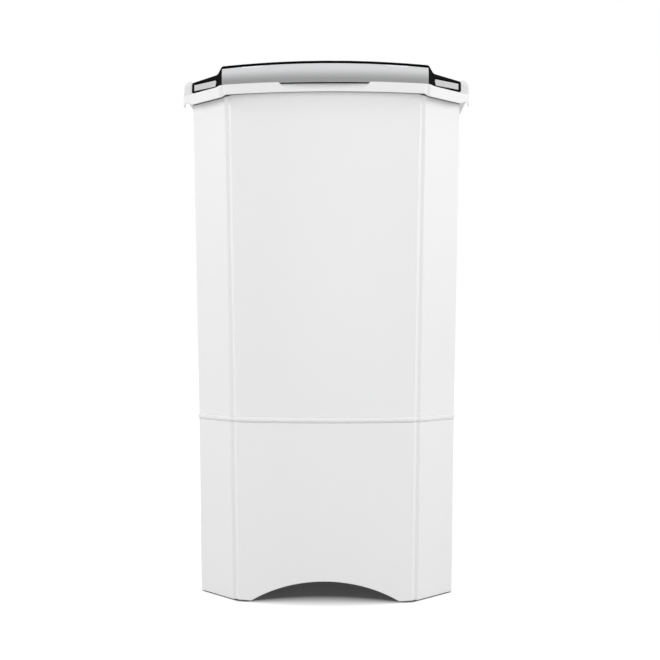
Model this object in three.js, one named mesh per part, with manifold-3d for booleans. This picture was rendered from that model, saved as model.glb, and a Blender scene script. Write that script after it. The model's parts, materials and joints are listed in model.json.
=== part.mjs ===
// Semi-automatic washing machine: one plastic tub with a pulsator, a belt drive and a rear console.
// Millimetres, +Z up, the front faces -Y. The origin lies on the floor under the centre.
import * as THREE from 'three';
import { mergeVertices } from 'three/addons/utils/BufferGeometryUtils.js';
import Module from 'manifold-3d';

const wasm = await Module();
wasm.setup();

// Driving dimensions of the outer shell. The tub tapers to the joint, the base tapers on to the floor.
const shell = {
  rimHalfWidth: 234,
  jointHalfWidth: 225,
  footHalfWidth: 221,
  rimHalfDepth: 235,
  jointHalfDepth: 226,
  footHalfDepth: 222,
  footHeight: 3,
  jointHeight: 307,
  fadeDepth: 94,
  rimHeight: 864,
  corner: 63,
  bow: 20,
  panelProud: 5,
  panelProudAtRim: 2.5,
  panelInset: 6.5,
  panelBevel: 4,
  tubWall: 4,
  baseWall: 3.5,
};
const fadeHeight = shell.rimHeight - shell.fadeDepth;
const beyond = 2 * (shell.rimHalfDepth + shell.jointHalfDepth);
const clearance = 0.3;
const overrun = 2;
const weld = 0.0001;
const bowSegments = 10;
const roundSegments = 5;
const cornerSegments = 3;
const sides = { large: 32, medium: 18, small: 12, tiny: 7 };
const cornerGrowthShare = 2 - Math.SQRT2;

const finishes = {
  whitePlastic: { color: 0xe9e9e9, roughness: 0.42, metalness: 0 },
  blackPlastic: { color: 0x151515, roughness: 0.3, metalness: 0 },
  silverPlastic: { color: 0xb9bbbd, roughness: 0.36, metalness: 0.35 },
  greyPlastic: { color: 0xcfd0d1, roughness: 0.45, metalness: 0 },
  smokedPlastic: { color: 0x3c4246, roughness: 0.08, metalness: 0 },
  blueGreyPlastic: { color: 0x8f9aa6, roughness: 0.5, metalness: 0 },
  darkPlastic: { color: 0x2b2d30, roughness: 0.6, metalness: 0 },
  rubber: { color: 0x1d1d1d, roughness: 0.85, metalness: 0 },
  steel: { color: 0xb4b7ba, roughness: 0.32, metalness: 1 },
  paintedSteel: { color: 0x4b4f54, roughness: 0.55, metalness: 0.2 },
  aluminium: { color: 0xa9acb0, roughness: 0.45, metalness: 0.9 },
  bronze: { color: 0x9a7440, roughness: 0.4, metalness: 0.9 },
};

const machine = new THREE.Group();

function piece(name, solid, finish) {
  const mesh = new THREE.Mesh(geometryOf(solid), new THREE.MeshStandardMaterial(finishes[finish]));
  mesh.name = name;
  machine.add(mesh);
}

// Solids and geometry.
function signedVolume(positions, faces) {
  const [a, b, c] = [new THREE.Vector3(), new THREE.Vector3(), new THREE.Vector3()];
  let sum = 0;
  for (let i = 0; i < faces.length; i += 3) {
    a.fromArray(positions, faces[i] * 3);
    b.fromArray(positions, faces[i + 1] * 3);
    c.fromArray(positions, faces[i + 2] * 3);
    sum += a.dot(b.cross(c));
  }
  return sum;
}

// A profile may run either way round: its faces are turned outwards here.
function solidOf(positions, faces) {
  const turned = signedVolume(positions, faces) < 0 ? faces.toReversed() : faces;
  return new wasm.Manifold(new wasm.Mesh({
    numProp: 3,
    vertProperties: new Float32Array(positions),
    triVerts: new Uint32Array(turned),
  }));
}

function solidFrom(geometry) {
  const bare = geometry.clone();
  bare.deleteAttribute('normal');
  bare.deleteAttribute('uv');
  const merged = mergeVertices(bare, weld);
  const index = Array.from(merged.index.array);
  const faces = [];
  for (let i = 0; i < index.length; i += 3) {
    const [a, b, c] = index.slice(i, i + 3);
    if (a !== b && b !== c && c !== a) faces.push(a, b, c);
  }
  return solidOf(Array.from(merged.attributes.position.array), faces);
}

function geometryOf(solid) {
  const { vertProperties, triVerts } = solid.getMesh();
  const geometry = new THREE.BufferGeometry();
  geometry.setAttribute('position', new THREE.BufferAttribute(vertProperties, 3));
  geometry.setIndex(new THREE.BufferAttribute(triVerts, 1));
  geometry.computeVertexNormals();
  return geometry;
}

function placed(solid, matrix) {
  return solidFrom(geometryOf(solid).applyMatrix4(matrix));
}

function moved(solid, x, y, z) {
  return placed(solid, new THREE.Matrix4().makeTranslation(x, y, z));
}

function turned(solid, angle) {
  return placed(solid, new THREE.Matrix4().makeRotationZ(angle));
}

// Copies of a solid round the Z axis, the first one turned by a share of the step.
function repeated(solid, count, shift) {
  return Array.from({ length: count }, (_, i) => turned(solid, ((i + shift) * 2 * Math.PI) / count));
}

function mirrored(solid) {
  return placed(solid, new THREE.Matrix4().makeScale(-1, 1, 1));
}

function joined(...solids) {
  return solids.reduce((sum, solid) => sum.add(solid));
}

function cut(solid, ...tools) {
  return tools.reduce((rest, tool) => rest.subtract(tool), solid);
}

// Rings of equal count, joined side by side and closed by a cap at each end.
function loft(rings, flatten) {
  const count = rings[0].length;
  const faces = [];
  for (let level = 0; level + 1 < rings.length; level += 1) {
    for (let i = 0; i < count; i += 1) {
      const a = level * count + i;
      const b = level * count + ((i + 1) % count);
      faces.push(a, b, b + count, a, b + count, a + count);
    }
  }
  const flat = (ring) => ring.map((point) => new THREE.Vector2(...flatten(point)));
  const last = (rings.length - 1) * count;
  const clockwise = THREE.ShapeUtils.isClockWise(flat(rings[0]));
  const first = THREE.ShapeUtils.triangulateShape(flat(rings[0]), []);
  const final = THREE.ShapeUtils.triangulateShape(flat(rings.at(-1)), []);
  for (const [a, b, c] of first) faces.push(...(clockwise ? [a, b, c] : [c, b, a]));
  for (const [a, b, c] of final) {
    faces.push(...(clockwise ? [last + c, last + b, last + a] : [last + a, last + b, last + c]));
  }
  return solidOf(rings.flat(2), faces);
}

// Plan outlines stacked at their heights.
function stack(levels) {
  return loft(levels.map(([z, outline]) => outline.map(([x, y]) => [x, y, z])), ([x, y]) => [x, y]);
}

function block(xs, ys, zs) {
  const size = [xs, ys, zs].map(([low, high]) => high - low);
  const geometry = new THREE.BoxGeometry(...size);
  geometry.translate(...[xs, ys, zs].map(([low, high]) => (low + high) / 2));
  return solidFrom(geometry);
}

function extruded(outline, depth) {
  const shape = new THREE.Shape(outline.map(([x, y]) => new THREE.Vector2(x, y)));
  return solidFrom(new THREE.ExtrudeGeometry(shape, { depth, bevelEnabled: false }));
}

// A profile of [y, z] points carried along X, and one of [x, z] points carried along Y.
function alongX(profile, from, to) {
  const basis = new THREE.Matrix4().makeBasis(
    new THREE.Vector3(0, 1, 0),
    new THREE.Vector3(0, 0, 1),
    new THREE.Vector3(1, 0, 0),
  ).setPosition(from, 0, 0);
  return placed(extruded(profile, to - from), basis);
}

function alongY(profile, from, to) {
  const basis = new THREE.Matrix4().makeBasis(
    new THREE.Vector3(1, 0, 0),
    new THREE.Vector3(0, 0, 1),
    new THREE.Vector3(0, -1, 0),
  ).setPosition(0, to, 0);
  return placed(extruded(profile, to - from), basis);
}

// A closed profile of [radius, height] points turned round the Z axis.
function revolved(profile, sides) {
  const points = profile.map(([radius, height]) => new THREE.Vector2(radius, height));
  if (profile[0][0] > 0) points.push(points[0].clone());
  const geometry = new THREE.LatheGeometry(points, sides);
  geometry.rotateX(Math.PI / 2);
  return solidFrom(geometry);
}

function rod(radius, from, to, sides) {
  return revolved([[0, from], [radius, from], [radius, to], [0, to]], sides);
}

// Widens a hole of a given clear radius, so that its flats stay outside that radius.
function clearOf(radius, count) {
  return radius / Math.cos(Math.PI / count);
}

function ring(inner, outer, from, to, sides) {
  return revolved([[inner, from], [outer, from], [outer, to], [inner, to]], sides);
}

function arcPoints(centre, radius, from, to, segments) {
  return Array.from({ length: segments + 1 }, (_, i) => {
    const angle = from + ((to - from) * i) / segments;
    return [centre[0] + radius * Math.cos(angle), centre[1] + radius * Math.sin(angle)];
  });
}

function mix(low, high, share) {
  return low + (high - low) * share;
}

function mixShare(low, high, value) {
  return (value - low) / (high - low);
}

// The shell's size at a height: straight tapers from the floor to the joint and from there to the rim.
function taper(z, foot, joint, rim) {
  return z < shell.jointHeight
    ? mix(foot, joint, mixShare(shell.footHeight, shell.jointHeight, z))
    : mix(joint, rim, mixShare(shell.jointHeight, shell.rimHeight, z));
}

function halfWidthAt(z) {
  return taper(z, shell.footHalfWidth, shell.jointHalfWidth, shell.rimHalfWidth);
}

function halfDepthAt(z) {
  return taper(z, shell.footHalfDepth, shell.jointHalfDepth, shell.rimHalfDepth);
}

function panelProudAt(z) {
  const share = Math.max(0, mixShare(fadeHeight, shell.rimHeight, z));
  return mix(shell.panelProud, shell.panelProudAtRim, Math.min(share, 1));
}

// One level of the shell in plan, grown outwards: bowed front panel, cut corners, straight sides and back.
function shellOutline(z, grow) {
  const half = halfWidthAt(z) + grow;
  const rear = halfDepthAt(z) + grow;
  const leg = shell.corner + grow * cornerGrowthShare;
  const proud = panelProudAt(z);
  const front = rear - shell.bow - proud;
  const cornerX = half - leg;
  const footX = cornerX - shell.panelInset;
  const panelX = footX - shell.panelBevel;
  const panel = Array.from({ length: bowSegments + 1 }, (_, i) => {
    const share = (2 * i) / bowSegments - 1;
    return [panelX * share, -front - proud - shell.bow * (1 - share * share)];
  });
  return [
    [-cornerX, -front],
    [-footX, -front],
    ...panel,
    [footX, -front],
    [cornerX, -front],
    [half, leg - front],
    [half, rear - leg],
    [cornerX, rear],
    [-cornerX, rear],
    [-half, rear - leg],
    [-half, leg - front],
  ];
}

function shellBetween(from, to, grow, heights = []) {
  const levels = [from, ...heights.filter((z) => z > from && z < to), to];
  return stack(levels.map((z) => [z, shellOutline(z, grow)]));
}

// Wash tub: tapered walls, a floor with a round well for the pulsator, and a skirt below the floor.
const tub = {
  floorRise: 43,
  floorThickness: 4,
  beadProud: 1.8,
  beadRise: 2,
  beadHeight: 6,
  beadEdge: 0.8,
  grooveHeight: 2,
  grooveDepth: 0.8,
  wellRadius: 158,
  wellDepth: 24,
  wellWall: 4,
  wellSides: 40,
  shaftHoleRadius: 26,
  drainInsetX: 85,
  drainInsetY: 74,
  drainRadius: 17,
  motorInset: 76,
  railWall: 3,
};
const tubBottom = shell.jointHeight + clearance;
const floorTop = shell.jointHeight + tub.floorRise;
const drainX = shell.jointHalfWidth - tub.drainInsetX;
const drainY = shell.jointHalfDepth - tub.drainInsetY;
const wellFloor = floorTop - tub.wellDepth;
const wellUnderside = wellFloor - tub.wellWall;
const underFloor = floorTop - tub.floorThickness;

// Motor bracket: a steel plate screwed to four bosses under the tub.
const bracket = {
  thickness: 3,
  drop: 3,
  fold: 12,
  halfWidth: 96,
  frontReach: 78,
  rearReach: 64,
  corner: 14,
  bossRadius: 8,
  bossX: 82,
  bossFrontReach: 64,
  bossRearReach: 52,
  screwRadius: 2.5,
  screwLength: 14,
  headRadius: 6,
  headHeight: 3.5,
};
const bracketTop = shell.jointHeight - bracket.drop;
const motorY = shell.jointHalfDepth - tub.motorInset;
const bossRows = [motorY - bracket.bossFrontReach, motorY + bracket.bossRearReach];
const bossPlaces = [-1, 1].flatMap((side) => bossRows.map((y) => [side * bracket.bossX, y]));

// Lint filter: a box with a mesh window, which lifts out of two rails on the right wall of the tub.
const filter = {
  halfWidth: 52,
  topDrop: 154,
  height: 150,
  depth: 16,
  wall: 2.4,
  flange: 5,
  flangeThickness: 2.6,
  wallGap: 9,
};
const filterTop = shell.rimHeight - filter.topDrop;
const filterBottom = filterTop - filter.height;

function tubPiece() {
  const beadFrom = shell.jointHeight + tub.beadRise;
  const beadTop = beadFrom + tub.beadHeight;
  const grooveTop = beadTop + tub.grooveHeight;
  const levels = [
    [tubBottom, 0],
    [beadFrom, 0],
    [beadFrom + tub.beadEdge, tub.beadProud],
    [beadTop - tub.beadEdge, tub.beadProud],
    [beadTop, 0],
    [beadTop + tub.beadEdge, -tub.grooveDepth],
    [grooveTop, 0],
    [fadeHeight, 0],
    [shell.rimHeight - clearance, 0],
  ];
  const outside = stack(levels.map(([z, grow]) => [z, shellOutline(z, grow)]));
  const cavity = shellBetween(floorTop, shell.rimHeight + overrun, -shell.tubWall, [fadeHeight]);
  const skirtSpace = shellBetween(tubBottom - overrun, underFloor, -shell.tubWall);
  const wellOutside = rod(tub.wellRadius + tub.wellWall, wellUnderside, floorTop, tub.wellSides);
  const bosses = bossPlaces.map(([x, y]) => moved(
    cut(
      rod(bracket.bossRadius, bracketTop + clearance, underFloor + overrun / 2, sides.small),
      rod(bracket.screwRadius + clearance, 0, bracketTop + bracket.screwLength, sides.tiny),
    ),
    x,
    y,
    0,
  ));
  const well = rod(tub.wellRadius, wellFloor, floorTop + overrun, tub.wellSides);
  const shaftHole = rod(tub.shaftHoleRadius, wellUnderside - overrun, wellFloor + overrun, sides.medium);
  const drainHole = moved(
    rod(tub.drainRadius, underFloor - overrun, floorTop + overrun, sides.medium),
    drainX,
    drainY,
    0,
  );
  const walls = cut(outside, cavity, cut(skirtSpace, joined(wellOutside, ...bosses)));
  const boltDepth = drive.boltReach + clearance;
  const boltHoles = boltPlaces.map(([x, y]) => moved(
    rod(drive.boltRadius + clearance, wellUnderside - overrun, wellUnderside + boltDepth, sides.tiny),
    x,
    y,
    0,
  ));
  return cut(
    joined(walls, filterRails()),
    well,
    shaftHole,
    drainHole,
    spigotHole(),
    harnessHole(),
    ...boltHoles,
  );
}

// Two channel rails with a closed foot, moulded on the right wall.
function filterRails() {
  const wallX = halfWidthAt(filterBottom) - shell.tubWall;
  const inner = wallX - filter.wallGap - filter.flangeThickness - 2 * clearance - tub.railWall;
  const reach = halfWidthAt(filterTop) - shell.tubWall / 2;
  const slotHalf = filter.halfWidth + filter.flange + clearance;
  const outerHalf = slotHalf + tub.railWall;
  const lipHalf = filter.halfWidth + clearance;
  const top = filterTop;
  const foot = filterBottom - tub.railWall - clearance;
  const bodyXs = [inner, reach];
  const slotXs = [inner + tub.railWall, inner + tub.railWall + filter.flangeThickness + 2 * clearance];
  const whole = block(bodyXs, [-outerHalf, outerHalf], [foot, top]);
  const tall = [foot - overrun, top + overrun];
  const middle = block([inner - overrun, reach + overrun], [-lipHalf, lipHalf], tall);
  const slot = block(slotXs, [-slotHalf, slotHalf], [filterBottom - clearance, top + overrun]);
  return cut(whole, middle, slot).intersect(shellBetween(foot - overrun, top + overrun, -shell.tubWall / 2));
}

// Drain: a grille in the tub floor and an elbow under it whose spigot leaves through the rear wall.
const drain = {
  pipeRadius: 14,
  bore: 11.5,
  centreRise: 21,
  flangeRadius: 24,
  flangeThickness: 2.5,
  spigotProud: 24,
  ridgeHeight: 1.4,
  ridgeLength: 4,
  ridges: 2,
  grilleThickness: 2.2,
  grilleRadius: 26,
  slots: 5,
  slotWidth: 3,
  slotPitch: 4.8,
};

const drainHeight = shell.jointHeight + drain.centreRise;
const spigotEnd = shell.jointHalfDepth + drain.spigotProud;

function spigotRod(radius, from, to) {
  const basis = new THREE.Matrix4().makeRotationX(-Math.PI / 2).setPosition(drainX, 0, drainHeight);
  return placed(rod(radius, from, to, sides.small), basis);
}

function spigotHole() {
  return spigotRod(drain.pipeRadius + 2 * clearance, shell.jointHalfDepth / 2, beyond);
}

function drainElbow() {
  const top = underFloor - clearance;
  const knee = new THREE.SphereGeometry(drain.pipeRadius, sides.small, sides.tiny);
  knee.translate(drainX, drainY, drainHeight);
  const upright = moved(rod(drain.pipeRadius, drainHeight, top, sides.small), drainX, drainY, 0);
  const collar = rod(drain.flangeRadius, top - drain.flangeThickness, top, sides.small);
  const flange = moved(collar, drainX, drainY, 0);
  const ridges = Array.from({ length: drain.ridges }, (_, i) => {
    const end = spigotEnd - 2 * i * drain.ridgeLength - drain.ridgeLength / 2;
    return spigotRod(drain.pipeRadius + drain.ridgeHeight, end - drain.ridgeLength, end);
  });
  const body = joined(
    solidFrom(knee),
    upright,
    flange,
    spigotRod(drain.pipeRadius, drainY, spigotEnd),
    ...ridges,
  );
  const down = moved(
    rod(drain.bore, drainHeight - drain.bore / 2, top + overrun, sides.medium),
    drainX,
    drainY,
    0,
  );
  return cut(body, down, spigotRod(drain.bore, drainY - drain.bore / 2, spigotEnd + overrun));
}

function drainGrille() {
  const bottom = floorTop + clearance;
  const top = bottom + drain.grilleThickness;
  const skirtTop = bottom + clearance;
  const skirt = ring(drain.pipeRadius, tub.drainRadius - clearance, underFloor, skirtTop, sides.medium);
  const edge = drain.grilleThickness / 2;
  const disc = revolved([
    [0, bottom],
    [drain.grilleRadius, bottom],
    [drain.grilleRadius, top - edge],
    [drain.grilleRadius - edge, top],
    [0, top],
  ], sides.medium);
  const slots = Array.from({ length: drain.slots }, (_, i) => {
    const place = i - (drain.slots - 1) / 2;
    const y = place * drain.slotPitch;
    const half = Math.sqrt(drain.bore ** 2 - y ** 2);
    return block(
      [-half, half],
      [y - drain.slotWidth / 2, y + drain.slotWidth / 2],
      [bottom - overrun, top + overrun],
    );
  });
  return moved(cut(joined(disc, skirt), ...slots), drainX, drainY, 0);
}

// Base: a skirt that carries the tub, with an arch in front, a rear opening and a plate for each foot.
const base = {
  lipHeight: 5,
  lipThickness: 2.4,
  shelfThickness: 4,
  archHalfWidth: 126,
  archTop: 39.5,
  archSides: 160,
  openingHalfWidth: 120,
  openingBottom: 60,
  openingDrop: 27,
  coverLap: 16,
  coverThickness: 3,
  louvres: 7,
  louvrePitch: 18,
  louvreHalfWidth: 84,
  louvreHeight: 5,
  louvreProud: 5,
  louvreRise: 7,
  screwRadius: 2,
  screwHeadRadius: 4.5,
  screwHeadHeight: 2.2,
  screwReach: 8,
  plateThickness: 4,
  footInsetX: 56,
  footInsetFront: 62,
  footInsetRear: 37,
  padRadius: 15,
  stemRadius: 5,
  stemTop: 11,
  collarRadius: 7.5,
  collarHeight: 1.6,
  grommetInsetX: 73.5,
  grommetZ: 84,
  grommetRadius: 6.8,
  grommetBore: 4.2,
  grommetFlange: 2,
  grommetProud: 2.6,
};
const openingTop = shell.jointHeight - base.openingDrop;
const grommetX = shell.footHalfWidth - base.grommetInsetX;
const footColumn = shell.footHalfWidth - base.footInsetX;
const footRows = [base.footInsetFront - shell.footHalfDepth, shell.footHalfDepth - base.footInsetRear];
const footPlaces = footRows.flatMap((y) => [-footColumn, footColumn].map((x) => [x, y]));
const lipTop = shell.jointHeight + base.lipHeight;
const coverHalfWidth = base.openingHalfWidth + base.coverLap;
const coverSpan = [base.openingBottom - base.coverLap, openingTop + base.coverLap];
const coverScrews = [-1, 1].flatMap((side) => coverSpan.map((edge, i) => [
  side * (coverHalfWidth - base.coverLap / 2),
  edge + (i ? -base.coverLap / 2 : base.coverLap / 2),
]));

function backwards(solid, x, z) {
  return placed(solid, new THREE.Matrix4().makeRotationX(-Math.PI / 2).setPosition(x, 0, z));
}

function archCutter() {
  const rise = base.archTop - shell.footHeight;
  const radius = (base.archHalfWidth ** 2 + rise ** 2) / (2 * rise);
  const centreZ = base.archTop - radius;
  const disc = rod(radius, -beyond, -shell.footHalfDepth / 2, base.archSides);
  const cutter = backwards(disc, 0, centreZ);
  return cutter.intersect(block(
    [-base.archHalfWidth, base.archHalfWidth],
    [-beyond, 0],
    [-shell.footHeight, shell.jointHeight],
  ));
}

function baseSkirt() {
  const outside = shellBetween(shell.footHeight, shell.jointHeight, 0);
  const inside = shellBetween(shell.footHeight - overrun, shell.jointHeight + overrun, -shell.baseWall);
  const lipOuter = -shell.tubWall - clearance;
  const lipInner = lipOuter - base.lipThickness;
  const shelfBottom = shell.jointHeight - base.shelfThickness;
  const lip = cut(
    joined(
      shellBetween(shelfBottom, lipTop, lipOuter),
      shellBetween(shelfBottom, shell.jointHeight, -shell.baseWall / 2),
    ),
    shellBetween(shelfBottom - overrun, lipTop + overrun, lipInner),
  );
  const floor = shellBetween(shell.footHeight, shell.footHeight + base.plateThickness, -shell.baseWall / 2);
  const margin = base.padRadius + base.stemRadius;
  const plates = footPlaces.map(([x, y]) => floor.intersect(block(
    x < 0 ? [-beyond, x + margin] : [x - margin, beyond],
    y < 0 ? [-beyond, y + margin] : [y - margin, beyond],
    [0, shell.jointHeight],
  )));
  const stems = footPlaces.map(([x, y]) => moved(
    rod(base.stemRadius + clearance, 0, base.stemTop, sides.small),
    x,
    y,
    0,
  ));
  const opening = block(
    [-base.openingHalfWidth, base.openingHalfWidth],
    [0, beyond],
    [base.openingBottom, openingTop],
  );
  const screwHoles = coverScrews.map(([x, z]) => backwards(
    rod(base.screwRadius + clearance, 0, beyond, sides.tiny),
    x,
    z,
  ));
  const grommetHole = backwards(
    rod(base.grommetRadius + clearance, 0, beyond, sides.small),
    grommetX,
    base.grommetZ,
  );
  return cut(
    joined(cut(outside, inside), lip, ...plates),
    archCutter(),
    opening,
    grommetHole,
    ...screwHoles,
    ...stems,
  );
}

function foot() {
  const padTop = shell.footHeight - clearance;
  const stemBase = shell.footHeight + base.plateThickness + clearance;
  return revolved([
    [0, 0],
    [base.padRadius - clearance * 2, 0],
    [base.padRadius, clearance * 2],
    [base.padRadius, padTop],
    [base.stemRadius, padTop],
    [base.stemRadius, stemBase],
    [base.collarRadius, stemBase],
    [base.collarRadius - clearance, stemBase + base.collarHeight],
    [base.stemRadius - clearance, base.stemTop],
    [0, base.stemTop],
  ], sides.small);
}

function rearCover() {
  const [bottom, top] = coverSpan;
  const behind = block([-coverHalfWidth, coverHalfWidth], [0, beyond], coverSpan);
  const sheet = cut(
    shellBetween(bottom - overrun, top + overrun, clearance + base.coverThickness),
    shellBetween(bottom - 2 * overrun, top + 2 * overrun, clearance),
  ).intersect(behind);
  const holes = coverScrews.map(([x, z]) => backwards(
    rod(base.screwRadius + clearance, 0, beyond, sides.tiny),
    x,
    z,
  ));
  const hoods = [];
  const slots = [];
  for (let i = 0; i < base.louvres; i += 1) {
    const z = (bottom + top) / 2 + (i - (base.louvres - 1) / 2) * base.louvrePitch;
    const face = halfDepthAt(z) + clearance + base.coverThickness;
    const slotTop = z + base.louvreHeight;
    hoods.push(alongX([
      [face - base.coverThickness / 2, slotTop + base.louvreRise],
      [face - base.coverThickness / 2, slotTop],
      [face + base.louvreProud - base.coverThickness / 2, z],
      [face + base.louvreProud, z],
      [face + base.louvreProud, z + base.coverThickness / 2],
    ], -base.louvreHalfWidth - overrun, base.louvreHalfWidth + overrun));
    slots.push(block(
      [-base.louvreHalfWidth, base.louvreHalfWidth],
      [face - 2 * base.coverThickness, face + overrun / 2],
      [z, slotTop],
    ));
  }
  return cut(joined(cut(sheet, ...slots), ...hoods), ...holes);
}

function coverScrew(x, z) {
  const seat = halfDepthAt(z + base.screwHeadRadius) + 2 * clearance + base.coverThickness;
  const edge = base.screwHeadHeight / 2;
  return backwards(revolved([
    [0, seat - base.screwReach],
    [base.screwRadius, seat - base.screwReach],
    [base.screwRadius, seat],
    [base.screwHeadRadius, seat],
    [base.screwHeadRadius, seat + edge],
    [base.screwHeadRadius - edge, seat + base.screwHeadHeight],
    [0, seat + base.screwHeadHeight],
  ], sides.tiny), x, z);
}

function cordGrommet() {
  const flange = base.grommetRadius + base.grommetFlange;
  const outer = halfDepthAt(base.grommetZ + flange) + clearance;
  const inner = halfDepthAt(base.grommetZ - flange) - shell.baseWall - clearance;
  return backwards(revolved([
    [base.grommetBore, inner - base.grommetProud],
    [flange, inner - base.grommetProud],
    [flange, inner],
    [base.grommetRadius, inner],
    [base.grommetRadius, outer],
    [flange, outer],
    [flange - base.grommetProud / 2, outer + base.grommetProud],
    [base.grommetBore, outer + base.grommetProud],
  ], sides.small), grommetX, base.grommetZ);
}

// Duct on the back of the tub, with the wiring harness that runs from the motor to the console.
const duct = {
  halfWidth: 20,
  wall: 2,
  depth: 12,
  bottomRise: 12,
  harnessRadius: 3.2,
  harnessDepth: 4.6,
  harnessHoleRadius: 9,
  harnessHoleRise: 3.5,
  harnessReach: 36,
  harnessSteps: 38,
  harnessSides: 6,
  bend: 14,
};

const ductBottom = shell.jointHeight + duct.bottomRise;
const harnessStart = motorY + duct.harnessReach;

function harnessHole() {
  return backwards(
    rod(duct.harnessHoleRadius, shell.jointHalfDepth - 2 * shell.tubWall, beyond, sides.small),
    0,
    drainHeight + duct.harnessHoleRise,
  );
}

function rearDuct() {
  const top = shell.rimHeight - clearance;
  const channelHalf = duct.halfWidth - duct.wall;
  const outside = shellBetween(ductBottom, top, duct.depth).intersect(
    block([-duct.halfWidth, duct.halfWidth], [0, beyond], [ductBottom - overrun, top + overrun]),
  );
  const channel = shellBetween(ductBottom + duct.wall, top + overrun, duct.depth - duct.wall).intersect(
    block([-channelHalf, channelHalf], [0, beyond], [ductBottom + duct.wall, top + 2 * overrun]),
  );
  return cut(outside, shellBetween(ductBottom - overrun, top + overrun, clearance), channel);
}

// Top frame: an overhanging rim with side rails, a wash opening with a collar, and a deck for the console.
const frame = {
  overhang: 16,
  thickness: 17,
  edge: 1.5,
  marginInset: 1.5,
  marginGap: 2,
  marginDropFront: 4,
  marginDropCorner: 6.5,
  marginStepInset: 63,
  marginStepWidth: 16,
  lipDropFront: 3.5,
  lipDropCorner: 8,
  lipStepInset: 68,
  lipStepWidth: 11,
  lipThickness: 2.5,
  skin: 3,
  spigotDepth: 12,
  spigotThickness: 3,
  mouthInsetX: 29,
  mouthInsetFront: 47,
  mouthInsetRear: 111,
  mouthCorner: 46,
  collarDrop: 24,
  collarThickness: 3,
  railWidth: 13.5,
  railHeight: 22,
  railRadius: 11.5,
  railInsetFront: 85,
  railInsetRear: 3,
  railSlope: 8,
  gripInset: 9.5,
  gripHeight: 10,
  gripRear: 82,
  hookWidth: 2.8,
  notchLength: 17,
  notchRise: 4.5,
  recessHalfTop: 81,
  recessHalfBottom: 65,
  recessDepth: 15,
  recessReach: 21,
};
const frameTop = shell.rimHeight + frame.thickness;
const railTop = frameTop + frame.railHeight;
const railInner = shell.rimHalfWidth + frame.overhang - frame.railWidth;
const railFront = frame.railInsetFront - shell.rimHalfDepth;
const railRear = shell.rimHalfDepth - frame.railInsetRear;
const mouthFront = frame.mouthInsetFront - shell.rimHalfDepth;
const mouthRear = shell.rimHalfDepth - frame.mouthInsetRear;
const collarBottom = shell.rimHeight - frame.collarDrop;
const marginStep = shell.rimHalfWidth - frame.marginStepInset;
const marginRear = railFront - frame.marginGap;
const lipStep = shell.rimHalfWidth - frame.lipStepInset;
const stepShares = [0, 0.25, 0.5, 0.75, 1];

// Lid hinge: an axis along X at the back of the lid, with a lug on the frame and a knuckle on the lid.
const hinge = {
  inset: 93,
  height: 9.5,
  pinRadius: 3,
  running: 0.1,
  lugRadius: 7,
  knuckleRadius: 6.5,
  armShare: 0.6,
  lugInset: 56,
  lugThickness: 7,
  knuckleLength: 12,
  gap: 0.4,
  headRadius: 4.2,
  headLength: 2,
};
const hingeY = shell.rimHalfDepth - hinge.inset;
const hingeZ = frameTop + hinge.height;
const lugFrom = shell.rimHalfWidth - hinge.lugInset;
const knuckleFrom = lugFrom + hinge.lugThickness + hinge.gap;
const knuckleTo = knuckleFrom + hinge.knuckleLength;

function cutCornerBox(halfWidth, front, rear, corner) {
  return [
    [corner - halfWidth, front],
    [halfWidth - corner, front],
    [halfWidth, front + corner],
    [halfWidth, rear - corner],
    [halfWidth - corner, rear],
    [corner - halfWidth, rear],
    [-halfWidth, rear - corner],
    [-halfWidth, front + corner],
  ];
}

function mouthOutline(grow) {
  return cutCornerBox(
    shell.rimHalfWidth - frame.mouthInsetX + grow,
    mouthFront - grow,
    mouthRear + grow,
    frame.mouthCorner + grow * cornerGrowthShare,
  );
}

function frameOutline(grow) {
  return shellOutline(shell.rimHeight, grow);
}

function straight(outline, from, to) {
  return stack([[from, outline], [to, outline]]);
}

// Share of an S-shaped fall that starts at a distance from the middle and ends a width further out.
function fallAt(x, start, width) {
  const share = Math.min(Math.max((Math.abs(x) - start) / width, 0), 1);
  return (1 - Math.cos(Math.PI * share)) / 2;
}

// Top of the frame's outer margin and bottom of its lip: both step down towards the cut corners.
function marginTopAt(x) {
  const fall = fallAt(x, marginStep, frame.marginStepWidth);
  return frameTop - mix(frame.marginDropFront, frame.marginDropCorner, fall);
}

function lipBottomAt(x) {
  const fall = fallAt(x, lipStep, frame.lipStepWidth);
  return shell.rimHeight - mix(frame.lipDropFront, frame.lipDropCorner, fall);
}

// All that lies above a stepped line, from the front back to a depth.
function aboveStep(heightAt, start, width, rear) {
  const right = stepShares.map((share) => mix(start, start + width, share));
  const xs = [beyond, ...right.toReversed(), ...right.map((x) => -x), -beyond];
  const line = xs.map((x) => [x, heightAt(x)]);
  const top = frameTop + beyond;
  return alongY([...line, [-beyond, top], [beyond, top]], -beyond, rear);
}

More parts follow.
